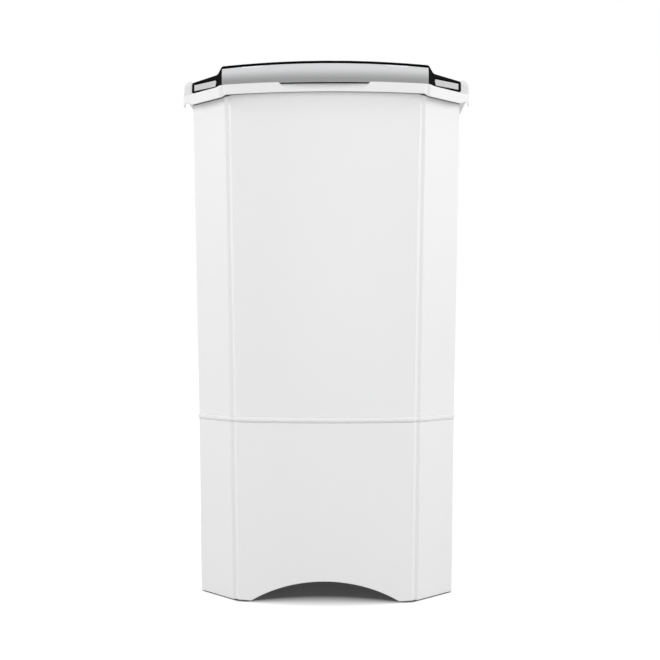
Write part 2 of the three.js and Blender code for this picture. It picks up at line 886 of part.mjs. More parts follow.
function topFrame() {
  const grow = frame.overhang;
  const bottom = shell.rimHeight;
  const plate = stack([
    [bottom, frameOutline(grow - frame.edge / 2)],
    [bottom + frame.edge / 2, frameOutline(grow)],
    [frameTop - frame.edge, frameOutline(grow)],
    [frameTop, frameOutline(grow - frame.edge)],
  ]);
  const margin = cut(
    aboveStep(marginTopAt, marginStep, frame.marginStepWidth, marginRear),
    straight(frameOutline(-frame.marginInset), bottom, frameTop + beyond + overrun),
  );
  const lipBottom = bottom - frame.lipDropCorner;
  const lip = cut(
    straight(frameOutline(grow), lipBottom, bottom + frame.edge),
    straight(frameOutline(grow - frame.lipThickness), lipBottom - overrun, bottom + frame.edge + overrun),
  ).intersect(aboveStep(lipBottomAt, lipStep, frame.lipStepWidth, railFront));
  const spigotOuter = -shell.tubWall - clearance;
  const spigotInner = spigotOuter - frame.spigotThickness;
  const spigotBottom = bottom - frame.spigotDepth;
  const collarWall = straight(mouthOutline(frame.collarThickness), collarBottom, frameTop - frame.skin / 2);
  const pocket = cut(
    straight(frameOutline(spigotInner), bottom - overrun, frameTop - frame.skin),
    collarWall,
  );
  const spigot = cut(
    shellBetween(spigotBottom, bottom + frame.edge, spigotOuter),
    straight(frameOutline(spigotInner), spigotBottom - overrun, bottom + frame.edge + overrun),
  );
  const rail = sideRail().intersect(straight(frameOutline(grow), bottom, railTop + overrun));
  const lug = hingeLug();
  const mouth = straight(mouthOutline(0), collarBottom - overrun, frameTop + overrun);
  const rim = cut(plate, pocket, margin);
  const body = joined(rim, lip, spigot, collarWall, rail, mirrored(rail), lug, mirrored(lug));
  const tools = [mouth, fingerRecess(), harnessPassage()];
  for (const tool of [sideGrip(), lipNotch()]) tools.push(tool, mirrored(tool));
  return cut(body, ...tools);
}

// Hand grip under a rail, and a notch in the lip that leaves a small hook at its end.
function sideGrip() {
  const outer = shell.rimHalfWidth + frame.overhang;
  return block(
    [outer - frame.gripInset, outer + overrun],
    [railFront, railRear - frame.gripRear],
    [shell.rimHeight - frame.lipDropCorner - overrun, shell.rimHeight + frame.gripHeight],
  );
}

function lipNotch() {
  const outer = shell.rimHalfWidth + frame.overhang;
  const low = lipBottomAt(beyond);
  return alongY([
    [outer - frame.notchLength, low - overrun],
    [outer - frame.notchLength, low],
    [outer - frame.notchLength / 2, low + frame.notchRise],
    [outer - frame.hookWidth, low + frame.notchRise],
    [outer - frame.hookWidth, low - overrun],
  ], -beyond, railFront + overrun);
}

function sideRail() {
  const outer = shell.rimHalfWidth + frame.overhang;
  const centre = [outer - frame.railRadius, railTop - frame.railRadius];
  const round = arcPoints(centre, frame.railRadius, 0, Math.PI / 2, roundSegments);
  const bar = alongY([
    [railInner, frameTop - frame.edge],
    [outer - frame.edge, frameTop - frame.edge],
    [outer, frameTop],
    ...round,
    [railInner + frame.edge, railTop],
    [railInner, railTop - frame.edge],
  ], railFront, railRear);
  const nose = alongX([
    [railFront - overrun, frameTop + frame.edge],
    [railFront, frameTop + frame.edge],
    [railFront + frame.railSlope, railTop + overrun],
    [railFront - overrun, railTop + overrun],
  ], railInner - overrun, outer + overrun);
  return cut(bar, nose);
}

function hingeLug() {
  const foot = frameTop - frame.edge;
  const lug = alongX([
    [hingeY - hinge.lugRadius, foot],
    ...arcPoints([hingeY, hingeZ], hinge.lugRadius, Math.PI, 0, sides.tiny),
    [hingeY + hinge.lugRadius, foot],
  ], lugFrom, lugFrom + hinge.lugThickness);
  return cut(lug, crosswise(rod(hinge.pinRadius + clearance, lugFrom - overrun, knuckleTo, sides.small)));
}

function crosswise(solid) {
  return placed(solid, new THREE.Matrix4().makeRotationY(Math.PI / 2).setPosition(0, hingeY, hingeZ));
}

function fingerRecess() {
  const front = shell.rimHalfDepth + frame.overhang;
  return alongY([
    [-frame.recessHalfBottom, frameTop - frame.recessDepth],
    [frame.recessHalfBottom, frameTop - frame.recessDepth],
    [frame.recessHalfTop, frameTop],
    [frame.recessHalfTop, frameTop + overrun],
    [-frame.recessHalfTop, frameTop + overrun],
    [-frame.recessHalfTop, frameTop],
  ], -front - overrun, frame.recessReach - front);
}

function harnessPassage() {
  return moved(
    rod(duct.harnessRadius + duct.wall, shell.rimHeight - overrun, frameTop + overrun, sides.tiny),
    0,
    shell.rimHalfDepth + duct.harnessDepth,
    0,
  );
}

// Lid: a black shell with a raised, crowned middle, low wings over the cut corners and a smoked window.
// A skirt round the wings reaches down over the step of the frame's margin.
const lid = {
  outset: 2.2,
  lift: 0.6,
  wingInner: 19.4,
  wingOuter: 17.6,
  wingEdge: 3,
  crownEdge: 32,
  crown: 36,
  cap: 3.3,
  capProud: 2.4,
  raisedInset: 60.5,
  blendWidth: 13,
  raisedInsetFront: 3,
  trimProud: 5.2,
  noseLeanShare: 0.4,
  noseHeight: 18,
  insetRear: 102,
  rearSlope: 45,
  rearHeight: 13,
  wall: 3,
  windowInsetX: 94,
  windowInsetFront: 49,
  windowInsetRear: 171,
  windowCorner: 30,
  windowThickness: 3,
  ledge: 7,
  ledgeThickness: 2,
  trimPast: 1.7,
  trimStep: 2,
  trimStepInset: 1.9,
  insertBottom: -0.5,
  insertRise: 2.2,
  insertHeight: 13,
  insertThickness: 1.8,
  insertInner: 25.7,
  insertOuter: 38.2,
  insertSlant: 4.4,
};
const lidBottom = frameTop + lid.lift;
const lidRear = shell.rimHalfDepth - lid.insetRear;
const raisedHalfWidth = shell.rimHalfWidth - lid.raisedInset;
const raisedFront = lid.raisedInsetFront - shell.rimHalfDepth;
const blendEnd = raisedHalfWidth + lid.blendWidth;
const trimHalfWidth = raisedHalfWidth + lid.trimPast;
const lidHalfWidth = shell.rimHalfWidth + lid.outset;
const lidCeiling = frameTop + 2 * lid.crown;
const skirtBottom = marginTopAt(beyond) + lid.lift;

// Height of the lid's top over its width: a low crown, an S-shaped fall, then a wing that slopes gently.
function lidTopAt(x) {
  const across = Math.abs(x);
  if (across <= raisedHalfWidth) {
    return frameTop + mix(lid.crown, lid.crownEdge, (across / raisedHalfWidth) ** 2);
  }
  const wing = mix(lid.wingInner, lid.wingOuter, Math.max(mixShare(blendEnd, lidHalfWidth, across), 0));
  return frameTop + mix(lid.crownEdge, wing, fallAt(x, raisedHalfWidth, lid.blendWidth));
}

// The lid's outer form, drawn in by "inset" at its sides and lowered by "drop".
function lidForm(inset, drop) {
  const half = lidHalfWidth - inset;
  const blendShares = [1, 0.8, 0.6, 0.4, 0.2];
  const crownShares = [1, 0.75, 0.5, 0.25];
  const blend = blendShares.map((share) => mix(raisedHalfWidth, blendEnd, share));
  const crown = crownShares.map((share) => raisedHalfWidth * share);
  const bottom = lidBottom - (inset ? overrun : 0);
  const edge = [half - lid.wingEdge, lidTopAt(half) - lid.wingEdge - drop];
  const right = [
    ...arcPoints(edge, lid.wingEdge, 0, Math.PI / 2, cornerSegments),
    ...[...blend, ...crown].map((x) => [x, lidTopAt(x) - drop]),
  ];
  const left = right.map(([x, z]) => [-x, z]).toReversed();
  const middle = [0, lidTopAt(0) - drop];
  const across = alongY([[-half, bottom], [half, bottom], ...right, middle, ...left], -beyond, beyond);
  const plan = straight(frameOutline(lid.outset - inset), lidBottom - 2 * overrun, lidCeiling);
  const side = alongX([
    [-beyond, bottom],
    [lidRear - inset, bottom],
    [lidRear - inset, frameTop + lid.rearHeight - drop],
    [lidRear - lid.rearSlope, frameTop + lid.crown - drop],
    [lidRear - lid.rearSlope, lidCeiling],
    [-beyond, lidCeiling],
  ], -half, half);
  const nose = noseCutter(raisedFront + inset, inset ? 0 : lid.cap);
  return across.intersect(plan).intersect(side).subtract(nose);
}

// How far the nose of the raised middle leans back at a height.
function leanAt(z) {
  return lid.noseLeanShare * Math.max(z - frameTop - lid.noseHeight, 0);
}

// Room for the silver band in front of the raised middle. Its rear follows the bow of the front. A thin
// cap of the given height comes forward over the band.
function noseCutter(front, cap) {
  const sections = Array.from({ length: bowSegments + 1 }, (_, i) => {
    const share = (2 * i) / bowSegments - 1;
    const x = share * (trimHalfWidth + clearance);
    const nose = front + shell.bow * share * share;
    const capBottom = lidTopAt(x) - cap;
    const head = nose + leanAt(capBottom);
    const capFront = head - lid.capProud;
    return [
      [x, nose - 2 * shell.bow, skirtBottom - overrun],
      [x, nose, skirtBottom - overrun],
      [x, nose, frameTop + lid.noseHeight],
      [x, head, capBottom],
      [x, capFront, capBottom],
      [x, capFront, lidCeiling + overrun],
      [x, nose - 2 * shell.bow, lidCeiling + overrun],
    ];
  });
  return loft(sections, ([, y, z]) => [y, z]);
}

// The lid's skirt over the lowered margin, left out behind the silver band.
function lidSkirt() {
  const top = lidBottom + lid.lift;
  const ring = cut(
    straight(frameOutline(lid.outset), skirtBottom, top),
    straight(frameOutline(lid.outset - lid.wall), skirtBottom - overrun, top + overrun),
  );
  const bottomAt = (x) => marginTopAt(x) + lid.lift;
  const above = aboveStep(bottomAt, marginStep, frame.marginStepWidth, marginRear - lid.lift);
  return ring.intersect(above).subtract(noseCutter(raisedFront, lid.cap));
}

function windowOutline(grow) {
  return cutCornerBox(
    shell.rimHalfWidth - lid.windowInsetX + grow,
    lid.windowInsetFront - shell.rimHalfDepth - grow,
    shell.rimHalfDepth - lid.windowInsetRear + grow,
    lid.windowCorner + grow * cornerGrowthShare,
  );
}

function windowZone(grow) {
  return straight(windowOutline(grow), frameTop, lidCeiling);
}

function lidFrame() {
  const whole = lidForm(0, 0);
  const hollow = lidForm(lid.wall, lid.wall);
  const seatDrop = lid.windowThickness + clearance;
  const ledgeZone = windowZone(lid.ledge).intersect(lidForm(lid.wall / 2, lid.wall / 2)).subtract(
    lidForm(lid.wall / 2, seatDrop + lid.ledgeThickness),
  );
  const walls = joined(cut(whole, hollow), ledgeZone, lidSkirt());
  const seat = windowZone(clearance).subtract(lidForm(lid.wall / 2, seatDrop));
  const opening = windowZone(-lid.ledge);
  const knuckle = lidKnuckle();
  const boreRadius = clearOf(hinge.pinRadius + hinge.running, sides.small);
  const knuckleBore = rod(boreRadius, knuckleFrom - overrun, knuckleTo + overrun, sides.small);
  return cut(
    joined(walls, knuckle, mirrored(knuckle)),
    seat,
    opening,
    ...[1, -1].map((side) => insertShape(side, clearance, overrun)),
    crosswise(knuckleBore),
    mirrored(crosswise(knuckleBore)),
  );
}

function lidKnuckle() {
  const web = hinge.knuckleRadius * hinge.armShare;
  const round = arcPoints([hingeY, hingeZ], hinge.knuckleRadius, 0, 2 * Math.PI, sides.small);
  const barrel = alongX(round.slice(1), knuckleFrom, knuckleTo);
  const arm = block([knuckleFrom, knuckleTo], [lidRear - lid.wall / 2, hingeY], [hingeZ - web, hingeZ + web]);
  return joined(barrel, arm);
}

function lidWindow() {
  const above = windowZone(0).intersect(lidForm(lid.wall / 2, 0));
  return above.subtract(lidForm(lid.wall / 4, lid.windowThickness));
}

// Silver band: a rolled strip that follows the bow of the front, tucked in at the top and at the bottom,
// where a thin lip hangs over the step of the frame's margin.
function frontTrim() {
  const rollShares = [0, 0.08, 0.25, 0.5, 0.75, 0.92, 1];
  const rollEndShares = [0.16, 0.84];
  const sections = Array.from({ length: bowSegments + 1 }, (_, i) => {
    const share = (2 * i) / bowSegments - 1;
    const x = share * trimHalfWidth;
    const bottom = marginTopAt(x) + lid.lift;
    const top = lidTopAt(x) - lid.cap - clearance;
    const face = raisedFront - clearance + shell.bow * share * share;
    const outer = rollShares.map((along) => {
      const z = mix(bottom, top, along);
      const bulge = lid.trimProud * Math.sqrt(Math.sin(Math.PI * mix(...rollEndShares, along)));
      return [x, face + leanAt(z) - bulge, z];
    });
    const step = frameTop + lid.trimStep;
    const inner = [
      [x, face + leanAt(top), top],
      [x, face, frameTop + lid.noseHeight],
      [x, face, step],
      [x, face - lid.trimStepInset, step],
      [x, face - lid.trimStepInset, bottom],
    ];
    return [...outer, ...inner];
  });
  return loft(sections, ([, y, z]) => [y, z]);
}

// Grey plate on a wing: a strip that rises outwards, seated in a shallow pocket on the cut corner.
function insertShape(side, grow, reach) {
  const outline = frameOutline(lid.outset);
  const frontRight = outline.filter(([x, y]) => x > 0 && y < 0);
  const [corner, end] = frontRight.slice(-2).map(([x, y]) => new THREE.Vector3(x, y, 0));
  const along = end.clone().sub(corner).normalize();
  const outward = along.clone().cross(new THREE.Vector3(0, 0, 1));
  const centre = corner.clone().lerp(end, 1 / 2);
  const bottom = frameTop + lid.insertBottom - grow;
  const top = frameTop + lid.insertBottom + lid.insertHeight + grow;
  const inner = -lid.insertInner - grow;
  const outer = lid.insertOuter + grow;
  const profile = [
    [inner + lid.insertSlant, bottom],
    [outer, bottom + lid.insertRise],
    [outer, top + lid.insertRise],
    [inner, top],
  ];
  const basis = new THREE.Matrix4()
    .makeBasis(along, new THREE.Vector3(0, 0, 1), outward)
    .setPosition(centre.addScaledVector(outward, -lid.insertThickness - grow));
  const strip = placed(extruded(profile, lid.insertThickness + grow + reach), basis);
  return side > 0 ? strip : mirrored(strip);
}

function hingePin(side) {
  const head = lugFrom - clearance;
  const pin = crosswise(revolved([
    [0, head - hinge.headLength],
    [hinge.headRadius, head - hinge.headLength],
    [hinge.headRadius, head],
    [hinge.pinRadius, head],
    [hinge.pinRadius, knuckleTo - clearance],
    [0, knuckleTo - clearance],
  ], sides.small));
  return side > 0 ? pin : mirrored(pin);
}

// Console: a low housing across the back, with a sloping fascia, a timer and its knob.
const consoleBox = {
  insetFront: 58,
  rearProud: 13,
  height: 68,
  sideGap: 0.5,
  inset: 3,
  topRadius: 7,
  slopeRun: 20,
  slopeRise: 60,
  wall: 2.8,
  openingInset: 31,
  openingFrom: 9,
  openingTo: 55,
  fasciaInset: 22,
  fasciaFrom: 4,
  fasciaTo: 60,
  fasciaThickness: 3,
  fasciaEdge: 1.2,
};
const timer = {
  insetX: 116,
  centre: 33,
  halfWidth: 28,
  halfHeight: 19,
  depth: 28,
  shaftRadius: 3,
  shaftDepth: 12,
  shaftReach: 17,
  knobRadius: 21,
  skirtRadius: 24,
  skirtHeight: 4,
  knobHeight: 17,
  gripHalfWidth: 4.5,
  flutes: 8,
  fluteRadius: 3,
  knobGap: 0.6,
  pointerWidth: 1.6,
  pointerDepth: 0.8,
};
const slopeAngle = Math.atan2(consoleBox.slopeRise, consoleBox.slopeRun);
const consoleHalf = railInner - consoleBox.sideGap;
const consoleFront = shell.rimHalfDepth - consoleBox.insetFront;
const consoleRear = shell.rimHalfDepth + consoleBox.rearProud;
const timerX = consoleHalf - timer.insetX;

// Places a solid drawn with Z out of the fascia and Y up its slope.
function onSlope(solid, x, up, out) {
  const rise = new THREE.Vector3(0, Math.cos(slopeAngle), Math.sin(slopeAngle));
  const normal = new THREE.Vector3(0, -Math.sin(slopeAngle), Math.cos(slopeAngle));
  const origin = new THREE.Vector3(x, consoleFront, frameTop + clearance)
    .addScaledVector(rise, up)
    .addScaledVector(normal, out);
  const across = new THREE.Vector3(1, 0, 0);
  return placed(solid, new THREE.Matrix4().makeBasis(across, rise, normal).setPosition(origin));
}

function consoleForm(inset) {
  const bottom = frameTop + clearance - (inset ? overrun : 0);
  const top = frameTop + consoleBox.height - inset;
  const front = consoleFront + inset;
  const rear = consoleRear - inset;
  const radius = consoleBox.topRadius - inset / 2;
  const slopeTop = frameTop + clearance + consoleBox.slopeRise;
  const profile = [
    [front, bottom],
    [rear, bottom],
    ...arcPoints([rear - radius, top - radius], radius, 0, Math.PI / 2, roundSegments),
    [front + consoleBox.slopeRun + radius, top],
    [front + consoleBox.slopeRun, slopeTop],
    [front, frameTop + clearance],
  ];
  const half = consoleHalf - inset;
  const outline = frameOutline(frame.overhang - consoleBox.inset - inset);
  const plan = straight(outline, bottom - overrun, top + overrun);
  return alongX(profile, -half, half).intersect(plan);
}

function consoleHousing() {
  const opening = onSlope(
    block(
      [consoleBox.openingInset - consoleHalf, consoleHalf - consoleBox.openingInset],
      [consoleBox.openingFrom, consoleBox.openingTo],
      [-2 * consoleBox.wall, overrun],
    ),
    0,
    0,
    0,
  );
  return cut(consoleForm(0), consoleForm(consoleBox.wall), opening);
}

function fascia() {
  const half = consoleHalf - consoleBox.fasciaInset;
  const edge = consoleBox.fasciaEdge;
  const level = (z, inset) => [
    [inset - half, consoleBox.fasciaFrom + inset, z],
    [half - inset, consoleBox.fasciaFrom + inset, z],
    [half - inset, consoleBox.fasciaTo - inset, z],
    [inset - half, consoleBox.fasciaTo - inset, z],
  ];
  const top = consoleBox.fasciaThickness;
  const panel = loft([level(clearance, 0), level(top - edge, 0), level(top, edge)], ([x, y]) => [x, y]);
  const bore = rod(timer.shaftRadius + 3 * clearance, -overrun, top + overrun, sides.small);
  return onSlope(cut(panel, moved(bore, timerX, timer.centre, 0)), 0, 0, 0);
}

function timerBody() {
  const box = block(
    [-timer.halfWidth, timer.halfWidth],
    [-timer.halfHeight, timer.halfHeight],
    [-timer.depth, 0],
  );
  const nose = rod(timer.shaftRadius * 2, -overrun, clearance / 2, sides.small);
  const boreRadius = clearOf(timer.shaftRadius + drive.running, sides.small);
  const bore = rod(boreRadius, -timer.shaftDepth - clearance, overrun, sides.small);
  return onSlope(cut(box.add(nose), bore), timerX, timer.centre, 0);
}

function timerShaft() {
  const shaft = rod(timer.shaftRadius, -timer.shaftDepth, timer.shaftReach, sides.small);
  return onSlope(shaft, timerX, timer.centre, 0);
}

function timerKnob() {
  const bottom = consoleBox.fasciaThickness + timer.knobGap;
  const skirtTop = bottom + timer.skirtHeight;
  const top = bottom + timer.knobHeight;
  const edge = timer.skirtHeight / 2;
  const round = revolved([
    [0, bottom],
    [timer.skirtRadius, bottom],
    [timer.skirtRadius, skirtTop - edge],
    [timer.skirtRadius - edge, skirtTop],
    [timer.knobRadius, skirtTop],
    [timer.knobRadius - edge, top - edge],
    [timer.knobRadius - 2 * edge, top],
    [0, top],
  ], sides.large);
  const step = (2 * Math.PI) / timer.flutes;
  const flutes = Array.from({ length: timer.flutes }, (_, i) => moved(
    rod(timer.fluteRadius, skirtTop, top + overrun, sides.tiny),
    (timer.knobRadius + edge / 2) * Math.cos(step * (i + 1 / 2)),
    (timer.knobRadius + edge / 2) * Math.sin(step * (i + 1 / 2)),
    0,
  ));
  const pointer = block(
    [-timer.pointerWidth / 2, timer.pointerWidth / 2],
    [timer.gripHalfWidth, timer.knobRadius - 2 * edge],
    [top - timer.pointerDepth, top + overrun],
  );
  const boreTop = timer.shaftReach + clearance;
  const bore = rod(timer.shaftRadius + clearance, bottom - overrun, boreTop, sides.small);
  return onSlope(cut(round, ...flutes, pointer, bore), timerX, timer.centre, 0);
}

function wiringHarness() {
  const wallAt = (z) => halfDepthAt(z) + duct.harnessDepth;
  const rim = shell.rimHeight;
  const level = drainHeight;
  const side = timerX - timer.halfWidth - clearance;
  const endOut = -timer.depth / 2;
  const end = [
    side,
    consoleFront + timer.centre * Math.cos(slopeAngle) - endOut * Math.sin(slopeAngle),
    frameTop + timer.centre * Math.sin(slopeAngle) + endOut * Math.cos(slopeAngle),
  ];
  const points = [
    [0, harnessStart, bracketTop + clearance],
    [0, harnessStart, bracketTop + duct.bend / 2],
    [0, harnessStart + duct.bend / 2, level - duct.wall],
    [0, harnessStart + 2 * duct.bend, level],
    [0, wallAt(level) - duct.bend / 2, level],
    [0, wallAt(level), level + duct.bend / 2],
    [0, wallAt(level + 2 * duct.bend), level + 2 * duct.bend],
    [0, wallAt(rim - 2 * duct.bend), rim - 2 * duct.bend],
    [0, wallAt(rim), rim],
    [0, wallAt(rim), frameTop + duct.bend],
    [duct.bend / 2, end[1] + 2 * duct.bend, end[2] - duct.harnessHoleRise],
    [2 * duct.bend, end[1] + duct.bend / 2, end[2]],
    [end[0] - 2 * duct.bend, end[1], end[2]],
    end,
  ].map((point) => new THREE.Vector3(...point));
  const path = new THREE.CatmullRomCurve3(points, false, 'centripetal');
  const section = new THREE.Shape(Array.from({ length: duct.harnessSides }, (_, i) => {
    const angle = (i * 2 * Math.PI) / duct.harnessSides;
    return new THREE.Vector2(duct.harnessRadius * Math.cos(angle), duct.harnessRadius * Math.sin(angle));
  }));
  return solidFrom(new THREE.ExtrudeGeometry(section, {
    steps: duct.harnessSteps,
    bevelEnabled: false,
    extrudePath: path,
  }));
}

// Drive shaft and the housing that carries it, bolted under the well.
const drive = {
  shaftRadius: 7,
  shaftDrop: 159,
  shaftRise: 42,
  tubeRadius: 24,
  tubeDrop: 101,
  tubeBore: 16,
  flangeRadius: 46,
  flangeThickness: 6,
  ribThickness: 5,
  ribs: 4,
  spigotRadius: 25.4,
  bushLength: 26,
  sealThickness: 6,
  bolts: 4,
  boltCircle: 37,
  boltRadius: 2.5,
  boltHeadRadius: 4.6,
  boltHeadHeight: 3.6,
  boltReach: 2.6,
  running: 0.08,
};

// Belt drive: a spoked pulley on the drive shaft, a small one on the motor and a V-belt round both.
const belt = {
  drop: 137,
  drivenRadius: 90,
  driveRadius: 23.5,
  grooveDepth: 8,
  rimThickness: 6,
  halfWidth: 4.6,
  innerHalfWidth: 3,
  thickness: 6.4,
  seat: 0.9,
  flange: 2.4,
  spokes: 5,
  spokeHalfWidth: 7,
  spokeHalfThickness: 3,
  spokeTipShare: 0.7,
  hubRadius: 17,
  hubHalfLength: 11,
  motorHubRadius: 11,
  motorHubLength: 12,
  nutRadius: 11.5,
  nutHeight: 8,
  nutSides: 6,
  largeSteps: 22,
  smallSteps: 8,
};

// Motor: a laminated stator between two bells, hung under the bracket behind the drive shaft.
const motor = {
  radius: 60,
  bellRadius: 62,
  bellHeight: 24,
  statorHeight: 62,
  shaftRadius: 6,
  noseRadius: 16,
  slots: 8,
  slotHalfWidth: 3.4,
  slotFrom: 30,
  slotTo: 52,
  boltCircle: 36,
  shellThickness: 3,
  shoulder: 7.75,
};
const shaftBottom = shell.jointHeight - drive.shaftDrop;
const shaftTop = shell.jointHeight + drive.shaftRise;
const tubeBottom = shell.jointHeight - drive.tubeDrop;
const beltPlane = shell.jointHeight - belt.drop;
const flangeTop = wellUnderside - clearance;
const flangeBottom = flangeTop - drive.flangeThickness;
const spigotTop = wellFloor + tub.wellWall;
const boltPlaces = Array.from({ length: drive.bolts }, (_, i) => {
  const angle = ((i + 1 / 2) * 2 * Math.PI) / drive.bolts;
  return [drive.boltCircle * Math.cos(angle), drive.boltCircle * Math.sin(angle)];
});

function bearingHousing() {
  const seatTop = tubeBottom + drive.bushLength;
  const seatBottom = spigotTop - drive.sealThickness - drive.bushLength;
  const free = drive.shaftRadius + drive.ribThickness;
  const shape = revolved([
    [drive.tubeBore, tubeBottom],
    [drive.tubeRadius, tubeBottom],
    [drive.tubeRadius, flangeBottom],
    [drive.flangeRadius, flangeBottom],
    [drive.flangeRadius, flangeTop],
    [drive.spigotRadius, flangeTop],
    [drive.spigotRadius, spigotTop],
    [drive.tubeBore, spigotTop],
    [drive.tubeBore, seatBottom],
    [free, seatBottom],
    [free, seatTop],
    [drive.tubeBore, seatTop],
  ], sides.medium);
  const ribs = Array.from({ length: drive.ribs }, (_, i) => turned(alongY([
    [drive.tubeRadius - overrun, flangeBottom - drive.tubeRadius * 2],
    [drive.flangeRadius - overrun, flangeBottom + overrun / 2],
    [drive.tubeRadius - overrun, flangeBottom + overrun / 2],
  ], -drive.ribThickness / 2, drive.ribThickness / 2), (i * 2 * Math.PI) / drive.ribs));
  const holes = boltPlaces.map(([x, y]) => moved(
    rod(drive.boltRadius + clearance, flangeBottom - overrun, flangeTop + overrun, sides.tiny),
    x,
    y,
    0,
  ));
  return cut(joined(shape, ...ribs), ...holes);
}

function screwUp(radius, headRadius, headHeight, from, tip) {
  return revolved([
    [0, from - headHeight],
    [headRadius - headHeight / 3, from - headHeight],
    [headRadius, from - headHeight * 2 / 3],
    [headRadius, from],
    [radius, from],
    [radius, tip],
    [0, tip],
  ], sides.tiny);
}

function bush(from, to) {
  const bore = clearOf(drive.shaftRadius + drive.running, sides.medium);
  return ring(bore, drive.tubeBore - clearance, from, to, sides.medium);
}

function driveShaft() {
  const tip = drive.boltHeadRadius / 2;
  const shaft = revolved([
    [0, shaftBottom],
    [drive.shaftRadius - clearance, shaftBottom],
    [drive.shaftRadius, shaftBottom + clearance],
    [drive.shaftRadius, shaftTop - clearance],
    [drive.shaftRadius - clearance, shaftTop],
    [0, shaftTop],
  ], sides.medium);
  return cut(shaft, rod(tip + clearance, shaftTop - pulsator.screwLength, shaftTop + overrun, sides.tiny));
}

// A pulley with a V-groove at the belt's plane.
function pulleyRim(radius, inner) {
  const floor = radius - belt.grooveDepth;
  const mouth = belt.halfWidth + clearance * 2;
  const outside = mouth + belt.flange;
  return revolved([
    [inner, beltPlane - outside],
    [radius, beltPlane - outside],
    [radius, beltPlane - mouth],
    [floor, beltPlane - belt.innerHalfWidth - clearance],
    [floor, beltPlane + belt.innerHalfWidth + clearance],
    [radius, beltPlane + mouth],
    [radius, beltPlane + outside],
    [inner, beltPlane + outside],
  ], inner > belt.hubRadius ? sides.large : sides.medium);
}

function drivenPulley() {
  const rim = pulleyRim(belt.drivenRadius, belt.drivenRadius - belt.grooveDepth - belt.rimThickness);
  const [hubBottom, hubTop] = [beltPlane - belt.hubHalfLength, beltPlane + belt.hubHalfLength];
  const hub = rod(belt.hubRadius, hubBottom, hubTop, sides.medium);
  const reach = belt.drivenRadius - belt.grooveDepth - belt.rimThickness / 2;
  const spoke = extrudedAt([
    [0, -belt.spokeHalfWidth],
    [reach, -belt.spokeHalfWidth * belt.spokeTipShare],
    [reach, belt.spokeHalfWidth * belt.spokeTipShare],
    [0, belt.spokeHalfWidth],
  ], beltPlane - belt.spokeHalfThickness, beltPlane + belt.spokeHalfThickness);
  const spokes = repeated(spoke, belt.spokes, 0);
  const bore = rod(drive.shaftRadius + clearance, 0, beltPlane * 2, sides.medium);
  return cut(joined(rim, hub, ...spokes), bore);
}

function extrudedAt(outline, from, to) {
  return moved(extruded(outline, to - from), 0, 0, from);
}

function drivePulley() {
  const outside = belt.halfWidth + 2 * clearance + belt.flange;
  const rim = pulleyRim(belt.driveRadius, 0);
  const hub = rod(belt.motorHubRadius, beltPlane - outside - belt.motorHubLength, beltPlane, sides.medium);
  const bore = rod(motor.shaftRadius + clearance, 0, beltPlane * 2, sides.small);
  return moved(cut(joined(rim, hub), bore), 0, motorY, 0);
}

// Plan of the belt at a distance outside its inner face: two arcs and two straight runs.
function beltLoop(grow) {
  const wrap = Math.acos((belt.drivenRadius - belt.driveRadius) / motorY);
  const largeRadius = belt.drivenRadius - belt.grooveDepth + clearance + grow;
  const smallRadius = belt.driveRadius - belt.grooveDepth + clearance + grow;
  const large = largeRadius / Math.cos((Math.PI - wrap) / belt.largeSteps);
  const small = smallRadius / Math.cos(wrap / belt.smallSteps);
  const ahead = Math.PI / 2;
  return [
    ...arcPoints([0, motorY], small, ahead - wrap, ahead + wrap, belt.smallSteps),
    ...arcPoints([0, 0], large, ahead + wrap, ahead + 2 * Math.PI - wrap, belt.largeSteps),
  ];
}

function driveBelt() {
  const top = beltPlane + belt.halfWidth;
  const bottom = beltPlane - belt.halfWidth;
  const whole = straight(beltLoop(belt.thickness), bottom, top);
  const shoulder = belt.thickness - belt.seat;
  const hole = stack([
    [bottom - overrun, beltLoop(shoulder)],
    [bottom, beltLoop(shoulder)],
    [beltPlane - belt.innerHalfWidth, beltLoop(0)],
    [beltPlane + belt.innerHalfWidth, beltLoop(0)],
    [top, beltLoop(shoulder)],
    [top + overrun, beltLoop(shoulder)],
  ]);
  return cut(whole, hole);
}

function pulleyNut() {
  const top = beltPlane - belt.hubHalfLength - clearance;
  const nut = rod(belt.nutRadius, top - belt.nutHeight, top, belt.nutSides);
  return cut(nut, rod(drive.shaftRadius + clearance / 2, 0, top + overrun, sides.medium));
}

const bracketUnderside = bracketTop - bracket.thickness;
const bracketFront = motorY - bracket.frontReach;
const bracketRear = motorY + bracket.rearReach;
const bellTop = bracketUnderside - clearance;
const statorTop = bellTop - motor.bellHeight - clearance;
const statorBottom = statorTop - motor.statorHeight;
const motorBolts = [-1, 1].map((side) => [side * motor.boltCircle, motorY]);

function motorBell() {
  const bore = clearOf(motor.shaftRadius + drive.running, sides.medium);
  const bell = revolved([
    [bore, 0],
    [motor.bellRadius - motor.shoulder, 0],
    [motor.bellRadius, -motor.shoulder],
    [motor.bellRadius, -motor.bellHeight],
    [motor.bellRadius - motor.shellThickness, -motor.bellHeight],
    [motor.bellRadius - motor.shellThickness, -motor.bellHeight / 2],
    [motor.noseRadius, -motor.bellHeight / 2],
    [motor.noseRadius, -motor.bellHeight + overrun],
    [bore, -motor.bellHeight + overrun],
  ], sides.medium);
  const slots = Array.from({ length: motor.slots }, (_, i) => turned(block(
    [motor.slotFrom, motor.slotTo],
    [-motor.slotHalfWidth, motor.slotHalfWidth],
    [-motor.bellHeight, overrun],
  ), ((i + 1 / 2) * 2 * Math.PI) / motor.slots));
  return cut(bell, ...slots);
}

function motorTopBell() {
  const holes = motorBolts.map(([x]) => moved(
    rod(drive.boltRadius + clearance, -motor.bellHeight / 3 - clearance, overrun, sides.tiny),
    x,
    0,
    0,
  ));
  return moved(cut(motorBell(), ...holes), 0, motorY, bellTop);
}

